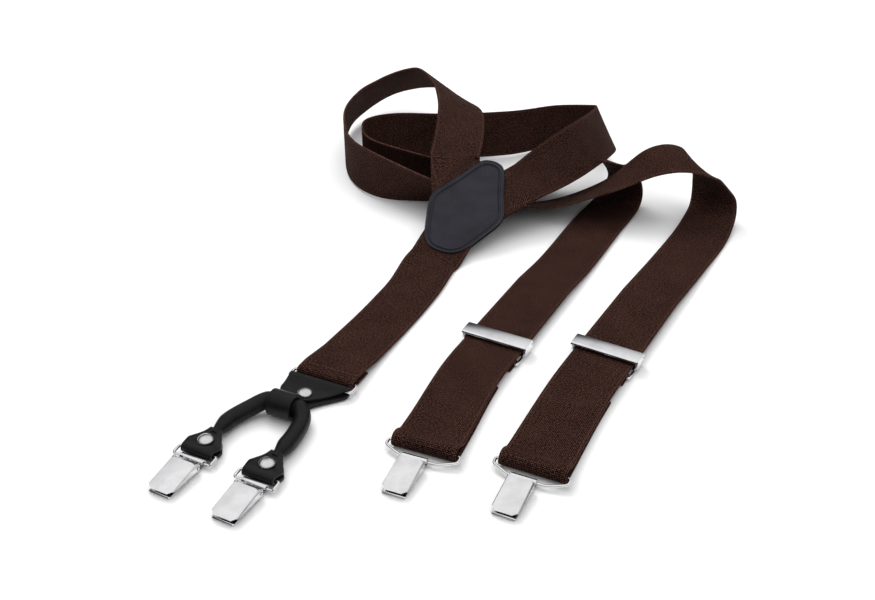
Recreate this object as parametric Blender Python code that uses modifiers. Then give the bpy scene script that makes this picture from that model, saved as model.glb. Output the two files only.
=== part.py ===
"""Y-back suspenders laid on a table: elastic straps, leather back patch, tabs, cord, sliders and clips.

Blender 4.5. Lengths below are in millimetres and become metres when a mesh is made. +Z is up, the
object rests on z = 0, and the long way of the laid object runs along Y. Layout positions are measured
from a mark on the table; LAY_ORIGIN is the middle of the laid object.
"""

import math

import bmesh
import bpy
from mathutils import Matrix, Vector

MM = 0.001
GAP = 0.3  # clearance between touching pieces
FACET = 0.07  # extra radius where a fold of flat facets goes round a bar

# ---- driving sizes (mm) ----
WEB_WIDTH = 35.0  # elastic webbing
WEB_THICK = 1.3
SEWN_THICK = 0.9  # hemmed end round the slider bar
PATCH_THICK = 1.8
LINING_THICK = 1.0
FORK_ANGLE = 29.0  # each strap leaves the patch axis at this angle
LEATHER_THICK = 1.6
TAB_WIDTH = 36.0
WRAP_WIDTH = 14.0
CORD_DIA = 9.5
CORD_TAB_WIDTH = 19.0
WIRE_DIA = 1.8
RING_WIRE_DIA = 2.0
RIVET_DIA = 8.4
STEEL = 0.8  # sheet steel of clips and sliders
CLIP_WIDTH = 12.4
CLIP_LENGTH = 30.0  # from the strap's folded end to the jaw
PIN_DIA = 1.2
ROLL_WIDTH = 13.5
SLIDER_WIDTH = 40.8
SLIDER_DEPTH = 10.2
FRONT_LOOP_PUFF = 7.6  # height of the folded strap over the front hanger
LAY_ORIGIN = (33.8, 603.5)
LAID_WIDTH = 35.0  # webbing width that the laid heights below are given for

# ---- derived ----
WEB_HALF = WEB_WIDTH / 2
RISE = WEB_WIDTH / LAID_WIDTH  # laid heights grow with webbing that stands on edge
RETURN_Z = GAP + WEB_THICK / 2  # lower layer of a folded strap end
SLIDER_BAR_Z = GAP + SEWN_THICK + GAP + STEEL / 2
RUN_Z = SLIDER_BAR_Z + STEEL / 2 + GAP + SEWN_THICK + GAP + WEB_THICK / 2  # strap over the slider bar
HEEL = 0.5  # rivet post flange
LOW_Z = GAP + HEEL + GAP + LEATHER_THICK / 2  # lower leather layer over a rivet heel
HIGH_Z = LOW_Z + LEATHER_THICK + GAP  # upper leather layer
CORD_R = CORD_DIA / 2
ROLL_R = WIRE_DIA / 2 + 0.42 + STEEL / 2  # middle of the sheet rolled round a hanger bar
ROLL_Z = GAP + STEEL / 2 + ROLL_R  # height of a hanger bar held in a clip's roll
PIN_Z = 4.0  # clip lever pin
LEVER_HALF = 6.65
EAR_HALF = LEVER_HALF - STEEL / 2 - GAP - STEEL / 2

parts = None
cutters = None
MATERIALS = {}


# ---------------------------------------------------------------- helpers
def clear_scene():
    """Remove what the startup scene holds and make the two collections."""
    global parts, cutters
    for obj in list(bpy.data.objects):
        bpy.data.objects.remove(obj)
    parts = bpy.data.collections.new("suspenders")
    cutters = bpy.data.collections.new("cutters")
    for collection in (parts, cutters):
        bpy.context.scene.collection.children.link(collection)
    cutters.hide_render = True


def material(name, colour, roughness, metallic=0.0):
    """A Principled material, made once per name."""
    if name not in MATERIALS:
        made = bpy.data.materials.new(name)
        made.use_nodes = True
        shader = made.node_tree.nodes["Principled BSDF"]
        shader.inputs["Base Color"].default_value = (*colour, 1.0)
        shader.inputs["Roughness"].default_value = roughness
        shader.inputs["Metallic"].default_value = metallic
        made.diffuse_color = (*colour, 1.0)
        MATERIALS[name] = made
    return MATERIALS[name]


def webbing():
    return material("webbing", (0.022, 0.014, 0.010), 0.85)


def black_leather():
    return material("black_leather", (0.012, 0.012, 0.014), 0.45)


def chrome():
    return material("chrome", (0.62, 0.62, 0.64), 0.15, 1.0)


def frame_at(x, y, z, heading, pitch=0.0):
    """Local frame on the table: X along the travel, Y to its left, Z up. Layout millimetres."""
    place = Matrix.Translation((x - LAY_ORIGIN[0], y - LAY_ORIGIN[1], z))
    turn = Matrix.Rotation(math.radians(heading), 4, "Z")
    return place @ turn @ Matrix.Rotation(math.radians(-pitch), 4, "Y")


def shifted(frame, along=0.0, left=0.0, up=0.0, turn=0.0, pitch=0.0):
    """A frame moved and turned within another one."""
    move = frame @ Matrix.Translation((along, left, up))
    move = move @ Matrix.Rotation(math.radians(turn), 4, "Z")
    return move @ Matrix.Rotation(math.radians(-pitch), 4, "Y")


def metres(frame):
    """The same frame with its place in metres."""
    made = frame.copy()
    made.translation = frame.translation * MM
    return made


def finish(obj, name, frame, look, cutter=False):
    """Name, place and colour an object, and put it in its collection."""
    obj.name = name
    obj.data.name = name
    for owner in list(obj.users_collection):
        owner.objects.unlink(obj)
    (cutters if cutter else parts).objects.link(obj)
    obj.matrix_world = metres(frame)
    if cutter:
        obj.hide_render = True
        obj.display_type = "WIRE"
    else:
        obj.data.materials.clear()
        obj.data.materials.append(look)
    return obj


def as_mesh(curve_obj):
    """The evaluated mesh of a curve, welded, with its normals turned out."""
    bpy.context.view_layer.update()
    graph = bpy.context.evaluated_depsgraph_get()
    mesh = bpy.data.meshes.new_from_object(curve_obj.evaluated_get(graph))
    bpy.data.objects.remove(curve_obj)
    body = bmesh.new()
    body.from_mesh(mesh)
    bmesh.ops.remove_doubles(body, verts=body.verts, dist=1e-6)
    bmesh.ops.recalc_face_normals(body, faces=body.faces)
    body.to_mesh(mesh)
    body.free()
    made = bpy.data.objects.new("made", mesh)
    bpy.context.scene.collection.objects.link(made)
    return made


def rounded(points, radius, steps=3, closed=True):
    """Corner points with each corner turned into a small arc."""
    count = len(points)
    made = []
    for i, point in enumerate(points):
        here = Vector(point)
        if not closed and i in (0, count - 1):
            made.append(here)
            continue
        before = Vector(points[i - 1]) - here
        after = Vector(points[(i + 1) % count]) - here
        reach = min(radius, before.length * 0.45, after.length * 0.45)
        start = here + before.normalized() * reach
        stop = here + after.normalized() * reach
        for k in range(steps + 1):
            t = k / steps
            made.append(start * (1 - t) ** 2 + here * 2 * t * (1 - t) + stop * t * t)
    return made


def plate(name, outline, low, high, frame, look=None, holes=(), cutter=False):
    """A flat plate: outlines in local (along, left), from height low to high."""
    curve = bpy.data.curves.new(name, "CURVE")
    curve.dimensions = "2D"
    curve.fill_mode = "BOTH"
    curve.extrude = (high - low) / 2 * MM
    for loop in (outline, *holes):
        spline = curve.splines.new("POLY")
        spline.points.add(len(loop) - 1)
        for spot, point in zip(spline.points, loop):
            spot.co = (point[0] * MM, point[1] * MM, 0.0, 1.0)
        spline.use_cyclic_u = True
    obj = bpy.data.objects.new(name, curve)
    bpy.context.scene.collection.objects.link(obj)
    obj = as_mesh(obj)
    obj.data.transform(Matrix.Translation((0, 0, (low + high) / 2 * MM)))
    return finish(obj, name, frame, look, cutter)


def wire(name, points, radius, frame, look, closed=True, sides=2):
    """A round wire through local points."""
    curve = bpy.data.curves.new(name, "CURVE")
    curve.dimensions = "3D"
    curve.bevel_depth = radius * MM
    curve.bevel_resolution = sides
    curve.use_fill_caps = not closed
    spline = curve.splines.new("POLY")
    spline.points.add(len(points) - 1)
    for spot, point in zip(spline.points, points):
        spot.co = (point[0] * MM, point[1] * MM, point[2] * MM, 1.0)
    spline.use_cyclic_u = closed
    obj = bpy.data.objects.new(name, curve)
    bpy.context.scene.collection.objects.link(obj)
    return finish(as_mesh(obj), name, frame, look)


def sheet(name, rows, thickness, frame, look):
    """A bent strip of even thickness. Each row is (left edge, right edge) as local points."""
    bpy.ops.mesh.primitive_grid_add(x_subdivisions=len(rows) - 1, y_subdivisions=1, size=1.0)
    obj = bpy.context.object
    mesh = obj.data
    order = sorted(range(len(mesh.vertices)), key=lambda i: tuple(mesh.vertices[i].co[:2]))
    for k, (first, second) in enumerate(rows):
        low, high = order[2 * k], order[2 * k + 1]
        mesh.vertices[low].co = Vector(second) * MM
        mesh.vertices[high].co = Vector(first) * MM
    finish(obj, name, frame, look)
    thick = obj.modifiers.new("thickness", "SOLIDIFY")
    thick.thickness = thickness * MM
    thick.offset = 0.0
    thick.use_even_offset = True
    return obj


def strip(name, profile, half, thickness, frame, look, centre=0.0):
    """A sheet bent along a profile of (along, up) points. half is a number or one per point."""
    rows = []
    for k, point in enumerate(profile):
        wide = half[k] if isinstance(half, (list, tuple)) else half
        mid = centre[k] if isinstance(centre, (list, tuple)) else centre
        rows.append(((point[0], mid + wide, point[1]), (point[0], mid - wide, point[1])))
    return sheet(name, rows, thickness, frame, look)


def bar(name, radius, half, frame, look=None, sides=16, cutter=False):
    """A round bar along local Y, centred on the frame."""
    bpy.ops.mesh.primitive_cylinder_add(vertices=sides, radius=radius * MM, depth=2 * half * MM)
    obj = bpy.context.object
    obj.data.transform(Matrix.Rotation(math.radians(90), 4, "X"))
    return finish(obj, name, frame, look, cutter)


def disc(name, radius, low, high, frame, sides=20):
    """A round cutter along local Z."""
    bpy.ops.mesh.primitive_cylinder_add(vertices=sides, radius=radius * MM, depth=(high - low) * MM)
    obj = bpy.context.object
    obj.data.transform(Matrix.Translation((0, 0, (low + high) / 2 * MM)))
    return finish(obj, name, frame, None, cutter=True)


def combine(obj, other, operation="DIFFERENCE"):
    """A Boolean of one object with another."""
    step = obj.modifiers.new(operation.lower(), "BOOLEAN")
    step.operation = operation
    step.solver = "EXACT"
    step.object = other
    other.hide_render = True
    return obj


def turned(name, profile, frame, look, steps=24):
    """A body of revolution about local Z from (radius, height) points, top to bottom."""
    mesh = bpy.data.meshes.new(name)
    spots = [(r * MM, 0.0, z * MM) for r, z in profile]
    mesh.from_pydata(spots, [(i, i + 1) for i in range(len(spots) - 1)], [])
    obj = bpy.data.objects.new(name, mesh)
    bpy.context.scene.collection.objects.link(obj)
    finish(obj, name, frame, look)
    spin = obj.modifiers.new("turn", "SCREW")
    spin.steps = steps
    spin.render_steps = steps
    spin.use_merge_vertices = True
    spin.merge_threshold = 0.00005
    spin.use_smooth_shade = True
    return obj


def arc(centre, radius, start, stop, steps):
    """Points (along, up) on an arc, angles in degrees."""
    made = []
    for k in range(steps + 1):
        angle = math.radians(start + (stop - start) * k / steps)
        made.append((centre[0] + radius * math.cos(angle), centre[1] + radius * math.sin(angle)))
    return made


# ---------------------------------------------------------------- straps
def smooth(stations, steps):
    """Catmull-Rom samples through stations of equal length tuples."""
    first = [2 * a - b for a, b in zip(stations[0], stations[1])]
    last = [2 * a - b for a, b in zip(stations[-1], stations[-2])]
    held = [first, *stations, last]
    made = []
    for i in range(len(stations) - 1):
        p0, p1, p2, p3 = held[i : i + 4]
        for k in range(steps):
            t = k / steps
            made.append(
                [
                    0.5 * (2 * b + (c - a) * t + (2 * a - 5 * b + 4 * c - d) * t * t
                           + (3 * b - a - 3 * c + d) * t ** 3)
                    for a, b, c, d in zip(p0, p1, p2, p3)
                ]
            )
    made.append(list(stations[-1]))
    return made


def across(heading, lean):
    """Unit vector across a strap: turned by heading about Z, then leaned up."""
    h = math.radians(heading)
    v = math.radians(lean)
    return Vector((math.cos(h) * math.cos(v), math.sin(h) * math.cos(v), math.sin(v)))


def strap_rows(samples, half=WEB_HALF):
    """Rows of a strap from (x, y, z, heading, lean) samples in layout millimetres."""
    centres = [Vector((s[0] - LAY_ORIGIN[0], s[1] - LAY_ORIGIN[1], s[2])) for s in samples]
    rows = []
    for k, sample in enumerate(samples):
        before = centres[max(k - 1, 0)]
        after = centres[min(k + 1, len(centres) - 1)]
        way = (after - before).normalized()
        side = across(sample[3], sample[4])
        side = (side - way * side.dot(way)).normalized()
        rows.append((centres[k] + side * half, centres[k] - side * half))
    return rows


PATCH_PLACE = (19.5, 632.7, 20.0)
PATCH_ALONG = Vector((0.446, 0.821, 0.355)).normalized()
PATCH_LEFT = Vector((-0.893, 0.433, 0.12))
PATCH_LEFT = (PATCH_LEFT - PATCH_ALONG * PATCH_LEFT.dot(PATCH_ALONG)).normalized()
FORK_APEX = -11.0  # on the patch axis
HALF_OUTLINE = (
    (-41.0, 0.0), (-40.3, 6.0), (-38.0, 10.5), (-32.0, 15.5), (-16.0, 22.0), (-6.0, 25.6), (0.0, 26.5),
    (6.0, 25.4), (19.0, 19.0), (28.0, 15.2), (38.0, 11.0), (43.0, 7.4), (45.0, 3.0), (45.3, 0.0),
)  # rounded kite, (along the axis, half width)


def patch_frame():
    """Frame in the plane of the patch: X toward the fork, Y to its left, Z out of the leather."""
    turn = Matrix((PATCH_ALONG, PATCH_LEFT, PATCH_ALONG.cross(PATCH_LEFT))).transposed().to_4x4()
    x, y, z = PATCH_PLACE
    return Matrix.Translation((x - LAY_ORIGIN[0], y - LAY_ORIGIN[1], z * RISE)) @ turn


def fork_rows(side):
    """First rows of a front strap, in the plane of the patch. side is +1 left, -1 right of its axis."""
    plane = patch_frame()
    turn = math.radians(FORK_ANGLE) * side
    way = Vector((math.cos(turn), math.sin(turn), 0.0))
    left = Vector((-way.y, way.x, 0.0))
    inner = WEB_HALF / math.tan(math.radians(FORK_ANGLE)) + 1.2
    outer = inner - 22.0
    leave = 46.0 / math.cos(turn) + WEB_HALF * math.tan(math.radians(FORK_ANGLE)) * 0.5
    apex = Vector((FORK_APEX, 0.0, 0.0))
    rows = []
    steps = ((inner, outer), ((inner + leave) / 2, outer + 9.0), (leave, outer + 18.0), (leave + 1.5, leave + 1.0))
    for d_inner, d_outer in steps:
        d_left, d_right = (d_outer, d_inner) if side > 0 else (d_inner, d_outer)
        rows.append(
            (
                plane @ (apex + way * d_left + left * WEB_HALF),
                plane @ (apex + way * d_right - left * WEB_HALF),
            )
        )
    return rows


# Each waypoint: x, y, z of the middle of the webbing, heading of its left edge, and lean.
RIGHT_WAYPOINTS = (
    (16.0, 703.0, 44.8, 183.0, 3.0),  # climbing off the patch
    (17.0, 745.0, 47.6, 187.0, 17.0),  # over the back wall of the inner loop
    (9.0, 792.0, 42.5, 206.0, 37.0),
    (-8.0, 832.0, 37.5, 232.0, 42.0),  # turning left at the far end
    (-35.0, 842.0, 29.5, 267.0, 48.0),
    (-57.0, 826.0, 23.0, 303.0, 62.0),
    (-68.5, 800.0, 21.0, 338.0, 74.0),
    (-72.0, 761.5, 19.5, 373.0, 89.0),  # standing on edge on the left
    (-65.0, 716.5, 18.8, 405.0, 90.0),
    (-44.0, 686.0, 19.0, 430.0, 93.0),
    (-8.0, 671.5, 15.4, 444.0, 125.0),  # leaning back to pass under the patch
    (34.5, 664.0, 11.0, 446.0, 148.0),
    (76.0, 661.0, 8.0, 443.0, 161.0),
    (117.0, 660.5, 22.0, 444.0, 168.0),
    (150.0, 663.0, 40.4, 453.0, 186.0),  # arch at the right
    (173.0, 664.5, 40.7, 456.0, 185.0),
    (188.0, 666.0, 27.0, 472.0, 170.0),
    (193.0, 659.0, 8.4, 499.0, 169.0),  # down to the table
    (181.0, 630.0, 2.6, 511.0, 183.0),
    (157.0, 589.0, 2.8, 510.5, 181.0),
)
LEFT_WAYPOINTS = (
    (97.5, 672.0, 45.4, 142.0, 48.0),  # top of the arch right of the patch
    (122.5, 720.5, 38.4, 147.0, 53.0),
    (125.5, 762.5, 24.7, 171.0, 72.0),
    (94.0, 776.0, 18.9, 218.0, 88.0),  # standing on edge, turning left
    (57.0, 762.0, 18.9, 256.0, 98.0),
    (9.0, 755.5, 19.2, 270.0, 100.0),
    (-32.0, 757.0, 19.2, 293.0, 97.0),
    (-54.0, 747.0, 18.9, 338.0, 92.0),
    (-53.5, 722.0, 18.9, 387.0, 92.0),
    (-36.0, 702.0, 20.5, 427.0, 103.0),
    (8.0, 691.0, 17.5, 448.0, 124.0),
    (41.4, 689.0, 16.5, 450.0, 141.0),
    (70.0, 691.0, 19.5, 454.0, 156.0),
    (93.5, 693.5, 29.8, 458.0, 165.0),
    (113.0, 695.0, 30.0, 461.0, 168.0),  # arch inside the other strap's arch
    (131.5, 695.0, 18.7, 475.0, 162.0),
    (130.0, 678.0, 3.6, 500.0, 176.0),
    (107.5, 636.0, 2.4, 511.5, 181.0),
    (84.0, 590.0, 2.6, 512.0, 180.0),
)
BACK_WAYPOINTS = (
    (-6.0, 586.0, 2.6, 333.9, -4.0),
    (-14.0, 563.0, 1.5, 333.8, 0.0),
    (-24.0, 540.0, 1.4, 333.8, 0.0),
    (-35.0, 517.0, 1.6, 334.0, 0.0),
    (-49.5, 487.0, 3.2, 334.5, 0.0),
)
RING_PLACE = (-62.6, 460.0, 244.6)  # where the back strap's fold meets the back tab's fold
RING_HALF_SPAN = 3.5
RING_Z = LOW_Z + LEATHER_THICK / 2 + GAP + RING_WIRE_DIA / 2

# Front ends: the folded end (x, y, heading) and the slider on the straight run (x, y, heading).
FRONT_ENDS = {
    "left": ((-8.0, 400.0, 247.5), (34.3, 498.0, 242.0)),
    "right": ((45.0, 385.0, 245.0), (95.9, 485.4, 240.0)),
}
RUN_ABOVE = 68.0  # straight run above the slider
RUN_BELOW = 22.0
HANGER_BACK = -3.9  # hanger bar, from the strap's folded end
HANGER_BACK_Z = 4.4
HANGER_HALF = WEB_HALF + WIRE_DIA / 2 + 1.0  # webbing fits between the wire's sides
HANGER_FRONT = 3.8


def run_plan(side, steps=5):
    """Plan of the run below the straight part: (x, y, heading) from near the slider to the folded end."""
    (ex, ey, eh), (sx, sy, sh) = FRONT_ENDS[side]
    way = Vector((math.cos(math.radians(sh)), math.sin(math.radians(sh))))
    last = Vector((math.cos(math.radians(eh)), math.sin(math.radians(eh))))
    start = Vector((sx, sy)) + way * RUN_BELOW
    # The fold is laid over the last 14 mm, so the plan ends there.
    end = Vector((ex, ey)) - last * 14.0
    span = (end - start).length
    made = []
    for k in range(steps + 1):
        t = k / steps
        spot = (
            start * (2 * t ** 3 - 3 * t * t + 1)
            + way * span * (t ** 3 - 2 * t * t + t)
            + end * (3 * t * t - 2 * t ** 3)
            + last * span * (t ** 3 - t * t)
        )
        turn = sh + (eh - sh) * (3 * t * t - 2 * t ** 3)
        made.append((spot.x, spot.y, turn))
    return made


def flat_samples(plan, heights):
    """Level samples of a strap on a plan of (x, y, heading)."""
    return [(x, y, z, h + 90.0, 0.0) for (x, y, h), z in zip(plan, heights)]


def end_samples(side):
    """Samples of a front strap from above its slider, round the hanger bar and back to the sewn end."""
    (ex, ey, eh), (sx, sy, sh) = FRONT_ENDS[side]
    way = (math.cos(math.radians(sh)), math.sin(math.radians(sh)))
    upper = []
    for back in (RUN_ABOVE, 0.0, -RUN_BELOW + 2.0):
        upper.append((sx - way[0] * back, sy - way[1] * back, RUN_Z, sh + 90.0, 0.0))
    plan = run_plan(side)
    heights = [RUN_Z, 4.2, 3.9, 3.8, 4.0, 4.6]
    upper += flat_samples(plan, heights)
    last = (math.cos(math.radians(eh)), math.sin(math.radians(eh)))
    fold = (
        (-10.5, 6.2), (-7.5, FRONT_LOOP_PUFF), (-4.6, FRONT_LOOP_PUFF + 0.2), (-2.6, 6.6),
        (-1.95, 4.6), (-2.3, 2.7), (-4.0, 1.3), (-7.0, RETURN_Z),
    )
    bend = [(ex + last[0] * a, ey + last[1] * a, z, eh + 90.0, 0.0) for a, z in fold]
    lower = flat_samples(list(reversed(plan)), [RETURN_Z] * len(plan))
    return upper, bend, lower[:-1]


def strap_end_rows(side):
    """Rows of the folded end of a front strap; the across vector follows the plan headings."""
    upper, bend, lower = end_samples(side)
    rows = []
    for x, y, z, heading, _ in upper + bend + lower:
        reach = across(heading, 0.0) * WEB_HALF
        spot = Vector((x - LAY_ORIGIN[0], y - LAY_ORIGIN[1], z))
        rows.append((spot + reach, spot - reach))
    return rows


def front_strap(side, waypoints, fork_side):
    """One front strap: from the fork under the patch, round the laid loop, to the return layer."""
    start = fork_rows(fork_side)
    first = start[-1]
    mid = (first[0] + first[1]) / 2
    over = first[0] - first[1]
    (sx, sy, sh) = FRONT_ENDS[side][1]
    back = math.radians(sh)
    joins = (sx - math.cos(back) * RUN_ABOVE, sy - math.sin(back) * RUN_ABOVE, RUN_Z)
    # The heading is counted on from the first waypoint's, so that the strap never turns the long way round.
    heading = math.degrees(math.atan2(over.y, over.x))
    heading += 360.0 * round((waypoints[0][3] - heading) / 360.0)
    lead = (
        mid.x + LAY_ORIGIN[0],
        mid.y + LAY_ORIGIN[1],
        mid.z,
        heading,
        math.degrees(math.atan2(over.z, math.hypot(over.x, over.y))),
    )
    # Past the edge-on part the front of the webbing faces up again: lean 180, heading + 180.
    final = (*joins, sh + 270.0, 180.0)
    raised = [(x, y, z * RISE, heading, lean) for x, y, z, heading, lean in waypoints]
    samples = smooth([lead, *raised, final], 3)
    body = strap_rows(samples)
    rows = start[:-1] + body[:-1] + strap_end_rows(side)
    rows = [(Vector(a), Vector(b)) for a, b in rows]
    return sheet(f"front_strap_{side}", rows, WEB_THICK, Matrix.Identity(4), webbing())


def sewn_end(side):
    """The end of a front strap's return layer, sewn round the bar of its slider."""
    frame = slider_frame_at(side)
    reach = SEWN_THICK / 2
    mid = SLIDER_BAR_Z
    radius = STEEL / 2 + GAP + reach
    low = mid - radius
    nose = BAR_BACK - GAP - reach - 0.1
    profile = [(RUN_BELOW - 2.2, RETURN_Z), (BAR_BACK + 4.5, RETURN_Z), (BAR_BACK + 2.6, low)]
    profile += [(nose + radius * 0.6, low), (nose, mid - radius * 0.55), (nose, mid + radius * 0.55)]
    profile += [(nose + radius * 0.6, mid + radius), (BAR_BACK + 2.6 + GAP, mid + radius)]
    return strip(f"front_strap_{side}_sewn_end", profile, WEB_HALF, SEWN_THICK, frame, webbing())


def back_strap():
    """The single back strap: from the patch to the back ring, folded round it and sewn."""
    x, y, heading = RING_PLACE
    plane = patch_frame()
    top = plane @ Vector((-12.6, 0.0, 0.0))
    side = plane.to_3x3() @ Vector((0.0, -1.0, 0.0))
    turn = math.degrees(math.atan2(side.y, side.x))
    lean = math.degrees(math.atan2(side.z, math.hypot(side.x, side.y)))
    start = []
    for s in (-12.6, -24.0, -35.0, -46.0):
        spot = plane @ Vector((s, 0.0, 0.0))
        start.append((spot.x + LAY_ORIGIN[0], spot.y + LAY_ORIGIN[1], spot.z, turn + 360.0, lean))
    samples = smooth([*start, *BACK_WAYPOINTS], 3)
    rows = strap_rows(samples)
    frame = shifted(frame_at(x, y, 0.0, heading), along=-RING_HALF_SPAN, up=RING_Z)
    radius = RING_WIRE_DIA / 2 + GAP + WEB_THICK / 2 + FACET
    low = -radius
    profile = [(-15.0, radius - 1.2), (-8.0, radius - 0.1)]
    profile += arc((0.0, 0.0), radius, 90.0, -90.0, 6) + [(-8.0, low), (-16.0, low - 0.2)]
    for along, up in profile:
        rows.append((frame @ Vector((along, WEB_HALF, up)), frame @ Vector((along, -WEB_HALF, up))))
    return sheet("back_strap", rows, WEB_THICK, Matrix.Identity(4), webbing())


def patch():
    """Top leather and lining of the back patch; the three straps are sewn between them."""
    frame = patch_frame()
    half = list(HALF_OUTLINE)
    outline = [(s, t) for s, t in half] + [(s, -t) for s, t in reversed(half[1:-1])]
    low = WEB_THICK / 2 + GAP
    slate = material("slate_leather", (0.045, 0.055, 0.085), 0.5)
    lining = material("lining_leather", (0.03, 0.03, 0.035), 0.7)
    top = plate("patch_top", outline, low, low + PATCH_THICK, frame, slate)
    edge = top.modifiers.new("edge", "BEVEL")
    edge.width = 0.4 * MM
    edge.segments = 2
    edge.limit_method = "ANGLE"
    edge.angle_limit = math.radians(50)
    plate("patch_lining", outline, -low - LINING_THICK, -low, frame, lining)


# ---------------------------------------------------------------- sliders
BAR_BACK = 11.4  # near face of the slider bar, from the slider's middle toward the clip
BAR_DEPTH = 2.6
CHEEK_HALF = WEB_HALF + 0.8 + STEEL / 2
SLIDER_TOP_Z = RUN_Z + WEB_THICK / 2 + GAP + PIN_DIA + GAP + STEEL / 2 + 0.7
SLIDER_PIN_Z = RUN_Z + WEB_THICK / 2 + GAP + PIN_DIA / 2
SLIDER_PIN_BACK = -SLIDER_DEPTH / 2 + 1.1


def slider_frame_at(side):
    """Frame on the table under the middle of a slider, X toward the clip."""
    sx, sy, sh = FRONT_ENDS[side][1]
    return frame_at(sx, sy, 0.0, sh)


def slider(side):
    """Slider frame with cheeks and strap bar, its gripping lever and the pin between them."""
    frame = slider_frame_at(side)
    depth = SLIDER_DEPTH / 2
    top = SLIDER_PIN_Z + PIN_DIA / 2 + 0.45
    rows = []
    section = (
        (CHEEK_HALF, top, depth - 2.6), (CHEEK_HALF, SLIDER_BAR_Z, depth),
        (-CHEEK_HALF, SLIDER_BAR_Z, depth), (-CHEEK_HALF, top, depth - 2.6),
    )
    for left, up, front in section:
        rows.append(((-depth, left, up), (front, left, up)))
    body = sheet(f"slider_{side}_frame", rows, STEEL, frame, chrome())
    outer = CHEEK_HALF + STEEL / 2
    reach = BAR_BACK + BAR_DEPTH
    arms = [(depth - 1.0, outer), (reach, outer), (reach, -outer), (depth - 1.0, -outer)]
    window = [(depth - 0.4, WEB_HALF + 0.35), (BAR_BACK, WEB_HALF + 0.35)]
    window += [(BAR_BACK, -WEB_HALF - 0.35), (depth - 0.4, -WEB_HALF - 0.35)]
    low = SLIDER_BAR_Z - STEEL / 2 + 0.02
    high = SLIDER_BAR_Z + STEEL / 2 - 0.02
    tail = plate(f"slider_{side}_arms", rounded(arms, 1.0, 2), low, high, frame, holes=[window], cutter=True)
    combine(body, tail, "UNION")
    pin_frame = shifted(frame, along=SLIDER_PIN_BACK, up=SLIDER_PIN_Z)
    hole = bar(f"slider_{side}_bore", PIN_DIA / 2 + GAP, outer + 3.0, pin_frame, cutter=True)
    combine(body, hole)
    # Lever: a top plate with a lip toward the strap and an ear down each side.
    back = SLIDER_PIN_BACK
    ear_half = outer + GAP + STEEL / 2 + 0.05
    rise = SLIDER_TOP_Z - SLIDER_PIN_Z
    tip = depth - back
    profile = ((-0.45, rise), (tip - 1.0, rise), (tip - 0.3, rise - 0.5), (tip, rise - 1.2))
    lever = strip(f"slider_{side}_lever", profile, ear_half + STEEL / 2, STEEL, pin_frame, chrome())
    for name, side_sign in (("a", 1.0), ("b", -1.0)):
        mid = ear_half * side_sign
        outline = [(-0.65, mid + STEEL / 2), (tip - 0.2, mid + STEEL / 2)]
        outline += [(tip - 0.2, mid - STEEL / 2), (-0.65, mid - STEEL / 2)]
        ear = plate(f"slider_{side}_ear_{name}", outline, -3.0, rise + 0.1, pin_frame, cutter=True)
        combine(lever, ear, "UNION")
    combine(lever, hole)
    bar(f"slider_{side}_pin", PIN_DIA / 2, ear_half + STEEL / 2 + 0.3, pin_frame, chrome())


# ---------------------------------------------------------------- clips and hangers
def hanger(name, frame, back, back_z, back_half, front, front_z, front_half, corner):
    """A bent wire loop: its back bar in a fold, its front bar in a clip's roll. Origin on the back bar."""
    points = [
        (0.0, -back_half, 0.0), (0.0, back_half, 0.0),
        (corner - back, back_half, (front_z - back_z) * 0.3),
        (front - back, front_half, front_z - back_z),
        (front - back, -front_half, front_z - back_z),
        (corner - back, -back_half, (front_z - back_z) * 0.3),
    ]
    place = shifted(frame, along=back, up=back_z)
    return wire(name, rounded(points, 1.6, 3), WIRE_DIA / 2, place, chrome())


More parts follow.
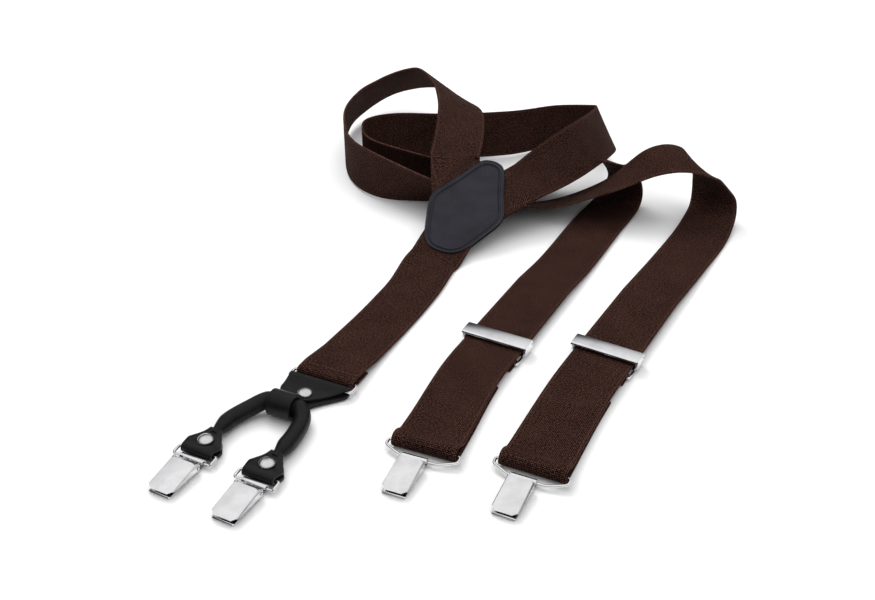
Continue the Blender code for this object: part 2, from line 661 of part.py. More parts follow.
def clip(name, frame, plate_back, lever_half, open_rear):
    """One clip. The frame's origin is the hanger's front bar; X points to the jaw, Z up.

    plate_back is where the lever's top plate begins, open_rear lifts its back edge.
    """
    steel = chrome()
    base_z = -ROLL_R
    end = CLIP_LENGTH - HANGER_FRONT
    pin_back = 5.2
    pin_up = PIN_Z - ROLL_Z
    # Base: rolled round the hanger bar, then flat to the jaw, whose tip turns up.
    profile = arc((0.0, 0.0), ROLL_R, 25.0, 270.0, 8)
    half = [ROLL_WIDTH / 2] * len(profile)
    profile += [(3.0, base_z), (8.0, base_z), (end - 0.8, base_z), (end, base_z + 0.7)]
    half += [ROLL_WIDTH / 2, CLIP_WIDTH / 2, CLIP_WIDTH / 2, CLIP_WIDTH / 2 - 0.4]
    base = strip(f"{name}_base", profile, half, STEEL, frame, steel)
    outline = ((2.6, base_z), (8.8, base_z), (6.5, pin_up + 1.15), (3.9, pin_up + 1.15))
    ear_half = lever_half - STEEL - GAP - 0.1
    for tag, sign in (("a", 1.0), ("b", -1.0)):
        stand = shifted(frame, left=sign * ear_half) @ Matrix.Rotation(math.radians(90), 4, "X")
        ear = plate(f"{name}_ear_{tag}", outline, -STEEL / 2, STEEL / 2, stand, cutter=True)
        combine(base, ear, "UNION")
    pin_frame = shifted(frame, along=pin_back, up=pin_up)
    bore = bar(f"{name}_bore", PIN_DIA / 2 + GAP, lever_half + 3.0, pin_frame, cutter=True)
    combine(base, bore)
    # Lever: a cover plate with flanges, sloping down to the jaw.
    tip = end - pin_back
    rear_up = 2.2 + open_rear
    front_up = (GAP + 1.0 + GAP + STEEL) + (-ROLL_R + STEEL / 2) - pin_up
    rear = plate_back - pin_back

    def slope(along):
        t = (along - rear) / (tip - rear)
        return rear_up + (front_up - rear_up) * t

    arm = -1.3
    rows = []
    chamfer = 2.2
    section = (
        (lever_half, -3.1, arm, tip - chamfer - 1.0),
        (lever_half, -0.5, arm, tip - chamfer),
        (lever_half - 0.5, 0.0, rear + 0.6, tip - chamfer + 0.3),
        (lever_half - chamfer, 0.0, rear, tip),
        (-lever_half + chamfer, 0.0, rear, tip),
        (-lever_half + 0.5, 0.0, rear + 0.6, tip - chamfer + 0.3),
        (-lever_half, -0.5, arm, tip - chamfer),
        (-lever_half, -3.1, arm, tip - chamfer - 1.0),
    )
    for left, drop, first, last in section:
        near = -1.35 if drop < -3.0 else slope(max(first, rear)) + drop
        far = slope(last) + max(drop, -0.55)
        rows.append(((first, left, near), (last, left, far)))
    lever = sheet(f"{name}_lever", rows, STEEL, pin_frame, steel)
    combine(lever, bore)
    bar(f"{name}_pin", PIN_DIA / 2, lever_half + STEEL / 2 + 0.4, pin_frame, steel)
    # Torsion spring round the pin.
    turns = 4.0
    steps = 10
    length = 2 * (ear_half - STEEL / 2) - 1.2
    radius = PIN_DIA / 2 + GAP + 0.2
    coil = []
    for k in range(int(turns * steps) + 1):
        angle = 2 * math.pi * k / steps
        coil.append((radius * math.cos(angle), -length / 2 + length * k / (turns * steps), radius * math.sin(angle)))
    wire(f"{name}_spring", coil, 0.2, pin_frame, steel, closed=False, sides=0)
    pad_low = base_z + STEEL / 2 + GAP
    pad_out = [(end - 10.0, 4.6), (end - 2.0, 4.6), (end - 2.0, -4.6), (end - 10.0, -4.6)]
    rubber = material("black_rubber", (0.01, 0.01, 0.01), 0.8)
    plate(f"{name}_jaw_pad", rounded(pad_out, 0.8, 2), pad_low, pad_low + 0.7, frame, rubber)


def front_hardware(side):
    """Hanger and clip at the end of one front strap."""
    ex, ey, eh = FRONT_ENDS[side][0]
    frame = frame_at(ex, ey, 0.0, eh)
    hanger(f"hanger_front_{side}", frame, HANGER_BACK, HANGER_BACK_Z, HANGER_HALF, HANGER_FRONT, ROLL_Z, 9.6, 0.3)
    hold = shifted(frame, along=HANGER_FRONT, left=-2.0, up=ROLL_Z)
    clip(f"clip_front_{side}", hold, 3.7, LEVER_HALF, 0.0)


# ---------------------------------------------------------------- back tab, cord and rivets
def rivet(name, frame, high=HIGH_Z):
    """A two-part rivet on a leather pair: flanged post below, domed cap above. Origin on the table.

    high is the middle of the upper leather layer.
    """
    steel = material("rivet_steel", (0.35, 0.35, 0.37), 0.3, 1.0)
    radius = RIVET_DIA / 2
    skirt = high + LEATHER_THICK / 2 + GAP
    crown = skirt + 2.0
    post_top = skirt + 1.0
    turned(
        f"{name}_cap",
        [
            (0.0, crown), (radius * 0.45, crown - 0.15), (radius * 0.8, crown - 0.7), (radius, skirt + 0.5),
            (radius, skirt), (1.3, skirt), (1.3, post_top + GAP), (0.0, post_top + GAP),
        ],
        frame,
        steel,
    )
    turned(
        f"{name}_post",
        [
            (0.0, post_top), (1.0, post_top), (1.0, GAP + HEEL), (radius * 0.8, GAP + HEEL),
            (radius * 0.8, GAP), (0.0, GAP),
        ],
        frame,
        steel,
        16,
    )


RIVET_HOLE = 1.4
TAB_RIVET = (14.4, -2.6)  # along and left of the ring place
WRAP_PLACE = (31.0, -4.8)
WRAP_TURN = 1.8


def ring_frame():
    x, y, heading = RING_PLACE
    return frame_at(x, y, 0.0, heading)


def back_ring():
    """Rectangular wire ring between the back strap's fold and the back tab's fold."""
    half = max(TAB_WIDTH, WEB_WIDTH) / 2 + RING_WIRE_DIA / 2 + 0.6
    span = 2 * RING_HALF_SPAN
    points = [(0.0, -half, 0.0), (0.0, half, 0.0), (span, half, 0.0), (span, -half, 0.0)]
    place = shifted(ring_frame(), along=-RING_HALF_SPAN, up=RING_Z)
    return wire("back_ring", rounded(points, 1.8, 3), RING_WIRE_DIA / 2, place, chrome())


def back_tab():
    """Black leather tab: flap over the ring's front bar, lower layer, neck and the wrap round the cord."""
    fold = RING_WIRE_DIA / 2 + GAP + LEATHER_THICK / 2 + FACET
    wrap_z = LOW_Z + LEATHER_THICK / 2 + GAP + CORD_R
    wrap_r = CORD_R + 3 * GAP + LEATHER_THICK / 2
    start = RING_HALF_SPAN
    flap = [
        ((21.3, -6.0), (20.6, -10.5)), ((19.5, 1.0), (18.0, -15.0)), ((16.5, 4.6), (15.2, -17.3)),
        ((10.0, 11.0), (10.0, -17.8)), ((6.5, 15.5), (6.5, -18.0)),
    ]
    rows = []
    place = shifted(ring_frame(), along=start, up=RING_Z)
    for first, second in flap:
        mid = (first[0] + second[0]) / 2
        drop = min(1.0, max(0.0, (mid - 3.4) / 6.4))
        drop = drop * drop * (3 - 2 * drop)
        up = fold + (HIGH_Z - RING_Z - fold) * drop
        rows.append(
            ((first[0] - start, first[1], up), (second[0] - start, second[1], up))
        )
    half = TAB_WIDTH / 2
    for along, up in arc((0.0, 0.0), fold, 90.0, 270.0, 8):
        rows.append(((along, half, up), (along, -half, up)))
    low = -fold
    ax, al = WRAP_PLACE
    neck = (
        (6.5, 16.6, -17.9), (12.0, 12.0, -17.0), (18.0, 6.5, -14.5), (23.0, 3.0, al - WRAP_WIDTH / 2),
        (26.5, al + WRAP_WIDTH / 2, al - WRAP_WIDTH / 2),
    )
    for along, left, right in neck:
        rows.append(((along - start, left, low), (along - start, right, low)))
    wrap = shifted(ring_frame(), along=ax, left=al, up=wrap_z, turn=WRAP_TURN)
    inverse = place.inverted() @ wrap
    for along, up in arc((0.0, 0.0), wrap_r, -90.0, 178.0, 11):
        spots = []
        for side in (1.0, -1.0):
            spots.append(inverse @ Vector((along, side * WRAP_WIDTH / 2, up)))
        rows.append(tuple(spots))
    tab = sheet("back_tab", rows, LEATHER_THICK, place, black_leather())
    spot = shifted(ring_frame(), along=TAB_RIVET[0], left=TAB_RIVET[1])
    hole = disc("back_tab_rivet_hole", RIVET_HOLE, 0.1, 12.0, spot)
    combine(tab, hole)
    rivet("back_tab_rivet", spot)


# Back ends: fold edge of each cord tab (x, y, heading) and the clip (heading).
BACK_ENDS = {
    "left": ((-120.4, 399.2, 243.0), 243.0, 0.4),
    "right": ((-87.2, 381.4, 243.1), 248.0, 0.6),
}
CORD_TAB_HIGH = 5.2  # middle of a cord tab's upper layer
TAB_RIVET_BACK = -9.0  # rivet behind the fold edge of a cord tab
TAB_NECK = -15.5
BACK_HANGER_HALF = 11.3
BACK_HANGER_Z = LOW_Z + LEATHER_THICK / 2 + GAP + WIRE_DIA / 2
BACK_HANGER_BACK = -(LEATHER_THICK + GAP + WIRE_DIA / 2)
BACK_HANGER_FRONT = GAP + STEEL + 0.35 + WIRE_DIA / 2 + 0.2


def wrap_frame():
    """Frame on the axis of the cord inside the back tab's wrap."""
    wrap_z = LOW_Z + LEATHER_THICK / 2 + GAP + CORD_R
    return shifted(ring_frame(), along=WRAP_PLACE[0], left=WRAP_PLACE[1], up=wrap_z, turn=WRAP_TURN)


def tab_frame(side):
    x, y, heading = BACK_ENDS[side][0]
    return frame_at(x, y, 0.0, heading)


def cord_path():
    """Middle line of the leather cord from the left tab, through the wrap, to the right tab."""
    hub = wrap_frame()
    reach = WRAP_WIDTH / 2
    neck_z = CORD_R + 0.6
    left_end = shifted(tab_frame("left"), along=TAB_NECK, up=CORD_R + GAP)
    left_neck = shifted(tab_frame("left"), along=TAB_NECK - 7.0, up=neck_z)
    right_end = shifted(tab_frame("right"), along=TAB_NECK, up=CORD_R + GAP)
    right_neck = shifted(tab_frame("right"), along=TAB_NECK - 7.0, up=neck_z)
    points = [
        tuple(left_end.translation),
        tuple(left_neck.translation),
        (-106.4 - LAY_ORIGIN[0], 426.0 - LAY_ORIGIN[1], 5.2),
        (-98.4 - LAY_ORIGIN[0], 433.4 - LAY_ORIGIN[1], 5.8),
        tuple(hub @ Vector((0.0, -reach - 3.0, 0.0))),
        tuple(hub @ Vector((0.0, -reach / 2, 0.0))),
        tuple(hub @ Vector((0.0, reach / 2, 0.0))),
        tuple(hub @ Vector((0.0, reach + 2.4, 0.0))),
        (-69.8 - LAY_ORIGIN[0], 423.6 - LAY_ORIGIN[1], 5.8),
        (-72.2 - LAY_ORIGIN[0], 413.4 - LAY_ORIGIN[1], 5.2),
        tuple(right_neck.translation),
        tuple(right_end.translation),
    ]
    return smooth(points, 4)


def leather_cord():
    """Rolled cord whose ends open out into flat tabs folded round the back hangers."""
    hub = wrap_frame()
    inverse = hub.inverted()
    path = [inverse @ Vector(point) for point in cord_path()]
    cord = wire("leather_cord", path, CORD_R, hub, black_leather(), closed=False, sides=3)
    fold = WIRE_DIA / 2 + GAP + LEATHER_THICK / 2 + FACET
    for side in ("left", "right"):
        place = shifted(tab_frame(side), along=BACK_HANGER_BACK, up=BACK_HANGER_Z)
        wide = CORD_TAB_WIDTH / 2
        root = TAB_NECK - BACK_HANGER_BACK
        high = CORD_TAB_HIGH - BACK_HANGER_Z
        low = LOW_Z - BACK_HANGER_Z
        profile = [(root - 2.6, high), (root + 4.0, high), (-5.2, high), (-2.6, (high + fold) / 2 + 0.2)]
        half = [3.4, wide * 0.8, wide + 0.5, wide]
        bend = arc((0.0, 0.0), fold, 90.0, -90.0, 6)
        profile += bend
        half += [wide - 0.5] * len(bend)
        profile += [(-5.2, low), (root + 4.0, low), (root - 2.6, low)]
        half += [wide + 0.5, wide * 0.8, 3.4]
        tab = strip(f"cord_tab_{side}", profile, half, LEATHER_THICK, place, black_leather())
        parts.objects.unlink(tab)
        cutters.objects.link(tab)
        tab.display_type = "WIRE"
        combine(cord, tab, "UNION")
        spot = shifted(tab_frame(side), along=TAB_RIVET_BACK)
        hole = disc(f"cord_tab_{side}_rivet_hole", RIVET_HOLE, 0.1, 12.0, spot)
        combine(cord, hole)
        rivet(f"cord_rivet_{side}", spot, CORD_TAB_HIGH + GAP + 0.2)


def back_hardware(side):
    """Hanger and clip at one end of the leather cord."""
    frame = tab_frame(side)
    half = BACK_HANGER_HALF
    span = BACK_HANGER_FRONT
    hanger(f"hanger_back_{side}", frame, BACK_HANGER_BACK, BACK_HANGER_Z, half, span, ROLL_Z, half, span - 0.6)
    heading = BACK_ENDS[side][1]
    offset = BACK_ENDS[side][2]
    turn = heading - BACK_ENDS[side][0][2]
    hold = shifted(frame, along=span, left=offset, up=ROLL_Z, turn=turn * 0.0)
    clip(f"clip_back_{side}", hold, 6.0, 7.2, 0.5)


def main():
    """Build every piece."""
    clear_scene()
    patch()
    back_strap()
    front_strap("right", RIGHT_WAYPOINTS, 1)
    front_strap("left", LEFT_WAYPOINTS, -1)
    for side in ("left", "right"):
        sewn_end(side)
        slider(side)
        front_hardware(side)
    back_ring()
    back_tab()
    leather_cord()
    for side in ("left", "right"):
        back_hardware(side)


main()
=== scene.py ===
"""Y-back suspenders laid in a loop on a pale table: straps, patch, leather fittings and plated clips."""

from __future__ import annotations

import logging
import math
from dataclasses import dataclass, field
from enum import Enum

import bpy
from mathutils import Matrix, Vector

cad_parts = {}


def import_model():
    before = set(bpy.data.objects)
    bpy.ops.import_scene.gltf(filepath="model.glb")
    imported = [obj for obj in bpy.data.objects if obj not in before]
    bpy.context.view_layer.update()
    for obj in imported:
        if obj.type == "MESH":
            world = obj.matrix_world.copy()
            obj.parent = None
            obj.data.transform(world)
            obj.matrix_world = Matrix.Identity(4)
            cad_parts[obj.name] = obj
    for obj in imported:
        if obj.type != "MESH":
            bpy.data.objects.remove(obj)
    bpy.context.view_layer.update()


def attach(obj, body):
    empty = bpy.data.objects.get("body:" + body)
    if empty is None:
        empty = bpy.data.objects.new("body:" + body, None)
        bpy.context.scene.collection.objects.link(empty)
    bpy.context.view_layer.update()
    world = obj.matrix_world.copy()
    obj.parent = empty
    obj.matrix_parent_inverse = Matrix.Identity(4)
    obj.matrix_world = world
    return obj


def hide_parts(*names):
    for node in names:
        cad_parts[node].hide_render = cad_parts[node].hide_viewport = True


LOG = logging.getLogger("suspenders")
MM = 0.001
Row = tuple[Vector, Vector]
Station = tuple[float, ...]


class Side(Enum):
    """Which side of the wearer a piece belongs to."""

    LEFT = "left"
    RIGHT = "right"


class End(Enum):
    """Which end of the suspenders a clip hangs from."""

    FRONT = "front"
    BACK = "back"


@dataclass(frozen=True)
class Sizes:
    """Sizes shared by the pieces, in millimetres."""

    web_width: float = 35.0
    web_thick: float = 1.3
    sewn_thick: float = 0.9
    gap: float = 0.3
    leather: float = 1.6
    cord_dia: float = 9.5
    wire_dia: float = 1.8
    ring_wire: float = 2.0
    steel: float = 0.8
    tab_width: float = 36.0
    wrap_width: float = 14.0
    lining_thick: float = 1.0

    @property
    def half(self) -> float:
        """Half the webbing's width."""
        return self.web_width / 2

    @property
    def low_z(self) -> float:
        """Middle of a lower leather layer over a rivet's heel."""
        return self.gap + 0.5 + self.gap + self.leather / 2

    @property
    def high_z(self) -> float:
        """Middle of the leather layer above it."""
        return self.low_z + self.leather + self.gap

    @property
    def run_z(self) -> float:
        """Middle of the webbing where it passes over a slider's bar."""
        return 4 * self.gap + 2 * self.sewn_thick + self.steel + self.web_thick / 2


S = Sizes()
LAY = (33.8, 603.5)
PATCH_PLACE = (19.5, 632.7, 20.0)
FORK_ANGLE = 29.0
FORK_APEX = -11.0
RING = (-62.6, 460.0, 244.6)
RING_HALF_SPAN = 3.5
RING_Z = S.low_z + S.leather / 2 + S.gap + S.ring_wire / 2
WRAP = (31.0, -4.8, 1.8)
WRAP_Z = S.low_z + S.leather / 2 + S.gap + S.cord_dia / 2
CORD_TAB_HIGH = 5.2
FRONT_ENDS = {
    Side.LEFT: ((-8.0, 400.0, 247.5), (34.3, 498.0, 242.0)),
    Side.RIGHT: ((45.0, 385.0, 245.0), (95.9, 485.4, 240.0)),
}
CORD_TABS = {Side.LEFT: (-120.4, 399.2, 243.0), Side.RIGHT: (-87.2, 381.4, 243.1)}
RUN_ABOVE = 68.0
RUN_BELOW = 22.0
HALF_OUTLINE = (
    (-41.0, 0.0), (-40.3, 6.0), (-38.0, 10.5), (-32.0, 15.5), (-16.0, 22.0), (-6.0, 25.6), (0.0, 26.5),
    (6.0, 25.4), (19.0, 19.0), (28.0, 15.2), (38.0, 11.0), (43.0, 7.4), (45.0, 3.0), (45.3, 0.0),
)

# Waypoints of the laid webbing: x, y, z of its middle, heading of its left edge, and lean (degrees).
WAYPOINTS = {
    Side.RIGHT: (
        (16.0, 703.0, 44.8, 183.0, 3.0), (17.0, 745.0, 47.6, 187.0, 17.0), (9.0, 792.0, 42.5, 206.0, 37.0),
        (-8.0, 832.0, 37.5, 232.0, 42.0), (-35.0, 842.0, 29.5, 267.0, 48.0),
        (-57.0, 826.0, 23.0, 303.0, 62.0), (-68.5, 800.0, 21.0, 338.0, 74.0),
        (-72.0, 761.5, 19.5, 373.0, 89.0), (-65.0, 716.5, 18.8, 405.0, 90.0),
        (-44.0, 686.0, 19.0, 430.0, 93.0), (-8.0, 671.5, 15.4, 444.0, 125.0),
        (34.5, 664.0, 11.0, 446.0, 148.0), (76.0, 661.0, 8.0, 443.0, 161.0),
        (117.0, 660.5, 22.0, 444.0, 168.0), (150.0, 663.0, 40.4, 453.0, 186.0),
        (173.0, 664.5, 40.7, 456.0, 185.0), (188.0, 666.0, 27.0, 472.0, 170.0),
        (193.0, 659.0, 8.4, 499.0, 169.0), (181.0, 630.0, 2.6, 511.0, 183.0),
        (157.0, 589.0, 2.8, 510.5, 181.0),
    ),
    Side.LEFT: (
        (97.5, 672.0, 45.4, 142.0, 48.0), (122.5, 720.5, 38.4, 147.0, 53.0),
        (125.5, 762.5, 24.7, 171.0, 72.0), (94.0, 776.0, 18.9, 218.0, 88.0),
        (57.0, 762.0, 18.9, 256.0, 98.0), (9.0, 755.5, 19.2, 270.0, 100.0),
        (-32.0, 757.0, 19.2, 293.0, 97.0), (-54.0, 747.0, 18.9, 338.0, 92.0),
        (-53.5, 722.0, 18.9, 387.0, 92.0), (-36.0, 702.0, 20.5, 427.0, 103.0),
        (8.0, 691.0, 17.5, 448.0, 124.0), (41.4, 689.0, 16.5, 450.0, 141.0),
        (70.0, 691.0, 19.5, 454.0, 156.0), (93.5, 693.5, 29.8, 458.0, 165.0),
        (113.0, 695.0, 30.0, 461.0, 168.0), (131.5, 695.0, 18.7, 475.0, 162.0),
        (130.0, 678.0, 3.6, 500.0, 176.0), (107.5, 636.0, 2.4, 511.5, 181.0),
        (84.0, 590.0, 2.6, 512.0, 180.0),
    ),
}
BACK_WAYPOINTS = (
    (-6.0, 586.0, 2.6, 333.9, -4.0), (-14.0, 563.0, 1.5, 333.8, 0.0), (-24.0, 540.0, 1.4, 333.8, 0.0),
    (-35.0, 517.0, 1.6, 334.0, 0.0), (-49.5, 487.0, 3.2, 334.5, 0.0),
)


# ---------------------------------------------------------------- places
def place_at(x: float, y: float, z: float, heading: float) -> Matrix:
    """A local frame on the table, in millimetres.

    Args:
        x, y, z: its origin on the laying table.
        heading: direction of its X axis in degrees.

    Returns:
        The frame, with Z up.
    """
    spot = Matrix.Translation((x - LAY[0], y - LAY[1], z))
    return spot @ Matrix.Rotation(math.radians(heading), 4, "Z")


def moved(frame: Matrix, along: float = 0.0, left: float = 0.0, up: float = 0.0, turn: float = 0.0) -> Matrix:
    """A frame moved, then turned about Z, within another one."""
    return frame @ Matrix.Translation((along, left, up)) @ Matrix.Rotation(math.radians(turn), 4, "Z")


def patch_place() -> Matrix:
    """The plane of the back patch: X toward the fork, Z out of the leather.

    Returns:
        The frame, in millimetres.
    """
    along = Vector((0.446, 0.821, 0.355)).normalized()
    left = Vector((-0.893, 0.433, 0.12))
    left = (left - along * left.dot(along)).normalized()
    turn = Matrix((along, left, along.cross(left))).transposed().to_4x4()
    x, y, z = PATCH_PLACE
    return Matrix.Translation((x - LAY[0], y - LAY[1], z)) @ turn


def smooth(stations: list[Station], steps: int) -> list[list[float]]:
    """Catmull-Rom samples through stations of equal length tuples.

    Args:
        stations: what the samples pass through.
        steps: samples from one station to the next.

    Returns:
        The samples, the last station among them.
    """
    first = [2 * a - b for a, b in zip(stations[0], stations[1])]
    last = [2 * a - b for a, b in zip(stations[-1], stations[-2])]
    held = [first, *stations, last]
    made = []
    for i in range(len(stations) - 1):
        for k in range(steps):
            t = k / steps
            made.append([
                0.5 * (2 * b + (c - a) * t + (2 * a - 5 * b + 4 * c - d) * t * t
                       + (3 * b - a - 3 * c + d) * t ** 3)
                for a, b, c, d in zip(*held[i : i + 4])
            ])
    made.append(list(stations[-1]))
    return made


def finer(rows: list[Row], steps: int) -> list[Row]:
    """The same strip with more rows, smooth through the given ones."""
    flat = [(*row[0], *row[1]) for row in rows]
    return [(Vector(s[:3]), Vector(s[3:])) for s in smooth(flat, steps)]


def straight(rows: list[Row], steps: int) -> list[Row]:
    """The same strip with more rows, straight between the given ones.

    Args:
        rows: the given rows.
        steps: rows made from each given one to the next.

    Returns:
        The rows, the last given one among them.
    """
    made = []
    for before, after in zip(rows, rows[1:]):
        for k in range(steps):
            made.append((before[0].lerp(after[0], k / steps), before[1].lerp(after[1], k / steps)))
    return [*made, rows[-1]]


def even(rows: list[Row], step: float) -> list[Row]:
    """Rows spaced evenly along a strip's middle.

    Args:
        rows: the given rows.
        step: wanted distance between two rows, in millimetres.

    Returns:
        The new rows.
    """
    mids = [(a + b) / 2 for a, b in rows]
    run = [0.0]
    for before, after in zip(mids, mids[1:]):
        run.append(run[-1] + (after - before).length)
    count = max(2, round(run[-1] / step))
    made = []
    k = 0
    for i in range(count + 1):
        want = run[-1] * i / count
        while k < len(run) - 2 and run[k + 1] < want:
            k += 1
        t = (want - run[k]) / max(run[k + 1] - run[k], 1e-9)
        made.append((rows[k][0].lerp(rows[k + 1][0], t), rows[k][1].lerp(rows[k + 1][1], t)))
    return made


def across(heading: float, lean: float) -> Vector:
    """Unit vector across a strap: turned by heading about Z, then leaned up.

    Args:
        heading: turn about Z, in degrees.
        lean: rise from level, in degrees.

    Returns:
        The unit vector.
    """
    h = math.radians(heading)
    v = math.radians(lean)
    return Vector((math.cos(h) * math.cos(v), math.sin(h) * math.cos(v), math.sin(v)))


def strap_rows(samples: list[list[float]]) -> list[Row]:
    """Rows of a strap from (x, y, z, heading, lean) samples.

    Args:
        samples: stations along the strap, in layout coordinates.

    Returns:
        One row for each sample.
    """
    mids = [Vector((s[0] - LAY[0], s[1] - LAY[1], s[2])) for s in samples]
    rows = []
    for k, sample in enumerate(samples):
        way = (mids[min(k + 1, len(mids) - 1)] - mids[max(k - 1, 0)]).normalized()
        side = across(sample[3], sample[4])
        side = (side - way * side.dot(way)).normalized()
        rows.append((mids[k] + side * S.half, mids[k] - side * S.half))
    return rows


def arc(radius: float, start: float, stop: float, steps: int) -> list[tuple[float, float]]:
    """Points (along, up) on an arc round the origin, angles in degrees."""
    angles = [math.radians(start + (stop - start) * k / steps) for k in range(steps + 1)]
    return [(radius * math.cos(a), radius * math.sin(a)) for a in angles]


def strip_rows(profile: list[tuple[float, float]], half: list[float] | float, frame: Matrix) -> list[Row]:
    """Rows of a strip bent along a profile of (along, up) points.

    Args:
        profile: points along the strip's middle.
        half: half the width, for all points or for each.
        frame: where the profile lies.

    Returns:
        One row for each point.
    """
    rows = []
    for k, (along, up) in enumerate(profile):
        wide = half[k] if isinstance(half, list) else half
        rows.append((frame @ Vector((along, wide, up)), frame @ Vector((along, -wide, up))))
    return rows


# ---------------------------------------------------------------- modelling
def deselect() -> None:
    """Leave edit mode and select nothing."""
    if bpy.context.mode != "OBJECT":
        bpy.ops.object.mode_set(mode="OBJECT")
    bpy.ops.object.select_all(action="DESELECT")


def pick(obj: bpy.types.Object) -> None:
    """Make an object the one that operators act on.

    Args:
        obj: the object.
    """
    deselect()
    obj.select_set(True)
    bpy.context.view_layer.objects.active = obj


def apply_all(obj: bpy.types.Object) -> None:
    """Apply each modifier in order.

    Args:
        obj: the object that has the modifiers.
    """
    pick(obj)
    for step in list(obj.modifiers):
        bpy.ops.object.modifier_apply(modifier=step.name)


def soften(obj: bpy.types.Object, width: float, segments: int = 2, angle: float = 35.0) -> None:
    """Round an object's sharp edges.

    Args:
        obj: the piece.
        width: width of the rounding in millimetres.
        segments: faces across the rounding.
        angle: edges sharper than this are rounded, in degrees.
    """
    step = obj.modifiers.new("soft edges", "BEVEL")
    step.width = width * MM
    step.segments = segments
    step.limit_method = "ANGLE"
    step.angle_limit = math.radians(angle)
    step.harden_normals = False


def smooth_shade(obj: bpy.types.Object, angle: float = 40.0) -> None:
    """Shade smooth except across edges sharper than angle."""
    pick(obj)
    bpy.ops.object.shade_smooth_by_angle(angle=math.radians(angle))


def strip_mesh(name: str, rows: list[Row], thick: float, divisions: int = 8) -> bpy.types.Object:
    """A bent strip with its own lengthwise UV map in millimetres.

    Args:
        name: the piece's name.
        rows: its edges, row by row, in millimetres.
        thick: its thickness in millimetres.
        divisions: faces across it.

    Returns:
        The finished strip, thickness and rounded edges applied.
    """
    deselect()
    count = len(rows) - 1
    bpy.ops.mesh.primitive_grid_add(x_subdivisions=count, y_subdivisions=divisions, size=2.0)
    obj = bpy.context.object
    obj.name = name
    obj.data.name = name
    run = [0.0]
    for before, after in zip(rows, rows[1:]):
        run.append(run[-1] + ((after[0] + after[1] - before[0] - before[1]) / 2).length)
    place = {}
    for vertex in obj.data.vertices:
        k = round((vertex.co.x + 1) / 2 * count)
        t = (vertex.co.y + 1) / 2
        place[vertex.index] = (k, t)
    uv = obj.data.uv_layers.active
    uv.name = "weave"
    for loop in obj.data.loops:
        k, t = place[loop.vertex_index]
        wide = (rows[k][0] - rows[k][1]).length
        uv.data[loop.index].uv = ((t - 0.5) * wide, run[k])
    for vertex in obj.data.vertices:
        k, t = place[vertex.index]
        spot = rows[k][1].lerp(rows[k][0], t)
        vertex.co = spot * MM
    wall = obj.modifiers.new("thickness", "SOLIDIFY")
    wall.thickness = thick * MM
    wall.offset = 0.0
    wall.use_even_offset = True
    soften(obj, thick * 0.3, 2, 60.0)
    apply_all(obj)
    smooth_shade(obj, 50.0)
    return obj


def tube(name: str, points: list[Vector], radius: float, taper: float, reach: float) -> bpy.types.Object:
    """A round tube through points, as a mesh.

    Args:
        name: the piece's name.
        points: its middle line in millimetres.
        radius: its radius in millimetres.
        taper: how much of the radius is left at each end.
        reach: how far from each end it narrows, in millimetres.

    Returns:
        The tube.
    """
    curve = bpy.data.curves.new(name, "CURVE")
    curve.dimensions = "3D"
    curve.bevel_depth = radius * MM
    curve.bevel_resolution = 6
    curve.use_fill_caps = True
    spline = curve.splines.new("POLY")
    spline.points.add(len(points) - 1)
    for spot, point in zip(spline.points, points):
        spot.co = (*(Vector(point) * MM), 1.0)
        near = min((point - points[0]).length, (point - points[-1]).length)
        t = min(near / reach, 1.0)
        spot.radius = taper + (1.0 - taper) * (3 * t * t - 2 * t ** 3)
    obj = bpy.data.objects.new(name, curve)
    bpy.context.scene.collection.objects.link(obj)
    pick(obj)
    bpy.ops.object.convert(target="MESH")
    obj = bpy.context.object
    bpy.ops.object.mode_set(mode="EDIT")
    bpy.ops.mesh.select_all(action="SELECT")
    bpy.ops.mesh.remove_doubles(threshold=1e-6)
    bpy.ops.mesh.normals_make_consistent(inside=False)
    bpy.ops.object.mode_set(mode="OBJECT")
    smooth_shade(obj, 60.0)
    return obj


def fine_copy(node: str, name: str, width: float = 0.14, rounds: int = 0) -> bpy.types.Object:
    """A finished piece from a plain CAD node: merged, flat faces joined, edges rounded.

    Args:
        node: the CAD node.
        name: the new piece's name.
        width: width of the edge rounding in millimetres.
        rounds: subdivision levels, for a round wire.

    Returns:
        The new piece, which replaces the node.
    """
    source = bpy.data.objects[node]
    obj = bpy.data.objects.new(name, source.data.copy())
    obj.data.name = name
    bpy.context.scene.collection.objects.link(obj)
    obj.matrix_world = Matrix.Identity(4)
    pick(obj)
    bpy.ops.object.mode_set(mode="EDIT")
    bpy.ops.mesh.select_all(action="SELECT")
    bpy.ops.mesh.remove_doubles(threshold=2e-6)
    if not rounds:
        bpy.ops.mesh.dissolve_limited(angle_limit=math.radians(4.0))
    bpy.ops.object.mode_set(mode="OBJECT")
    if rounds:
        bpy.ops.object.mode_set(mode="EDIT")
        bpy.ops.mesh.tris_convert_to_quads(face_threshold=0.7, shape_threshold=0.7)
        bpy.ops.object.mode_set(mode="OBJECT")
        step = obj.modifiers.new("round", "SUBSURF")
        step.levels = rounds
        step.render_levels = rounds
    else:
        soften(obj, width, 3, 28.0)
    apply_all(obj)
    smooth_shade(obj, 75.0 if rounds else 38.0)
    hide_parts(node)
    return obj


# ---------------------------------------------------------------- finishes
def nodes_of(name: str) -> tuple[bpy.types.Material, bpy.types.NodeTree, bpy.types.Node]:
    """A new material, its node tree and its shader.

    Args:
        name: the material's name.

    Returns:
        The material, its tree and its Principled shader.
    """
    made = bpy.data.materials.new(name)
    made.use_nodes = True
    tree = made.node_tree
    return made, tree, tree.nodes["Principled BSDF"]


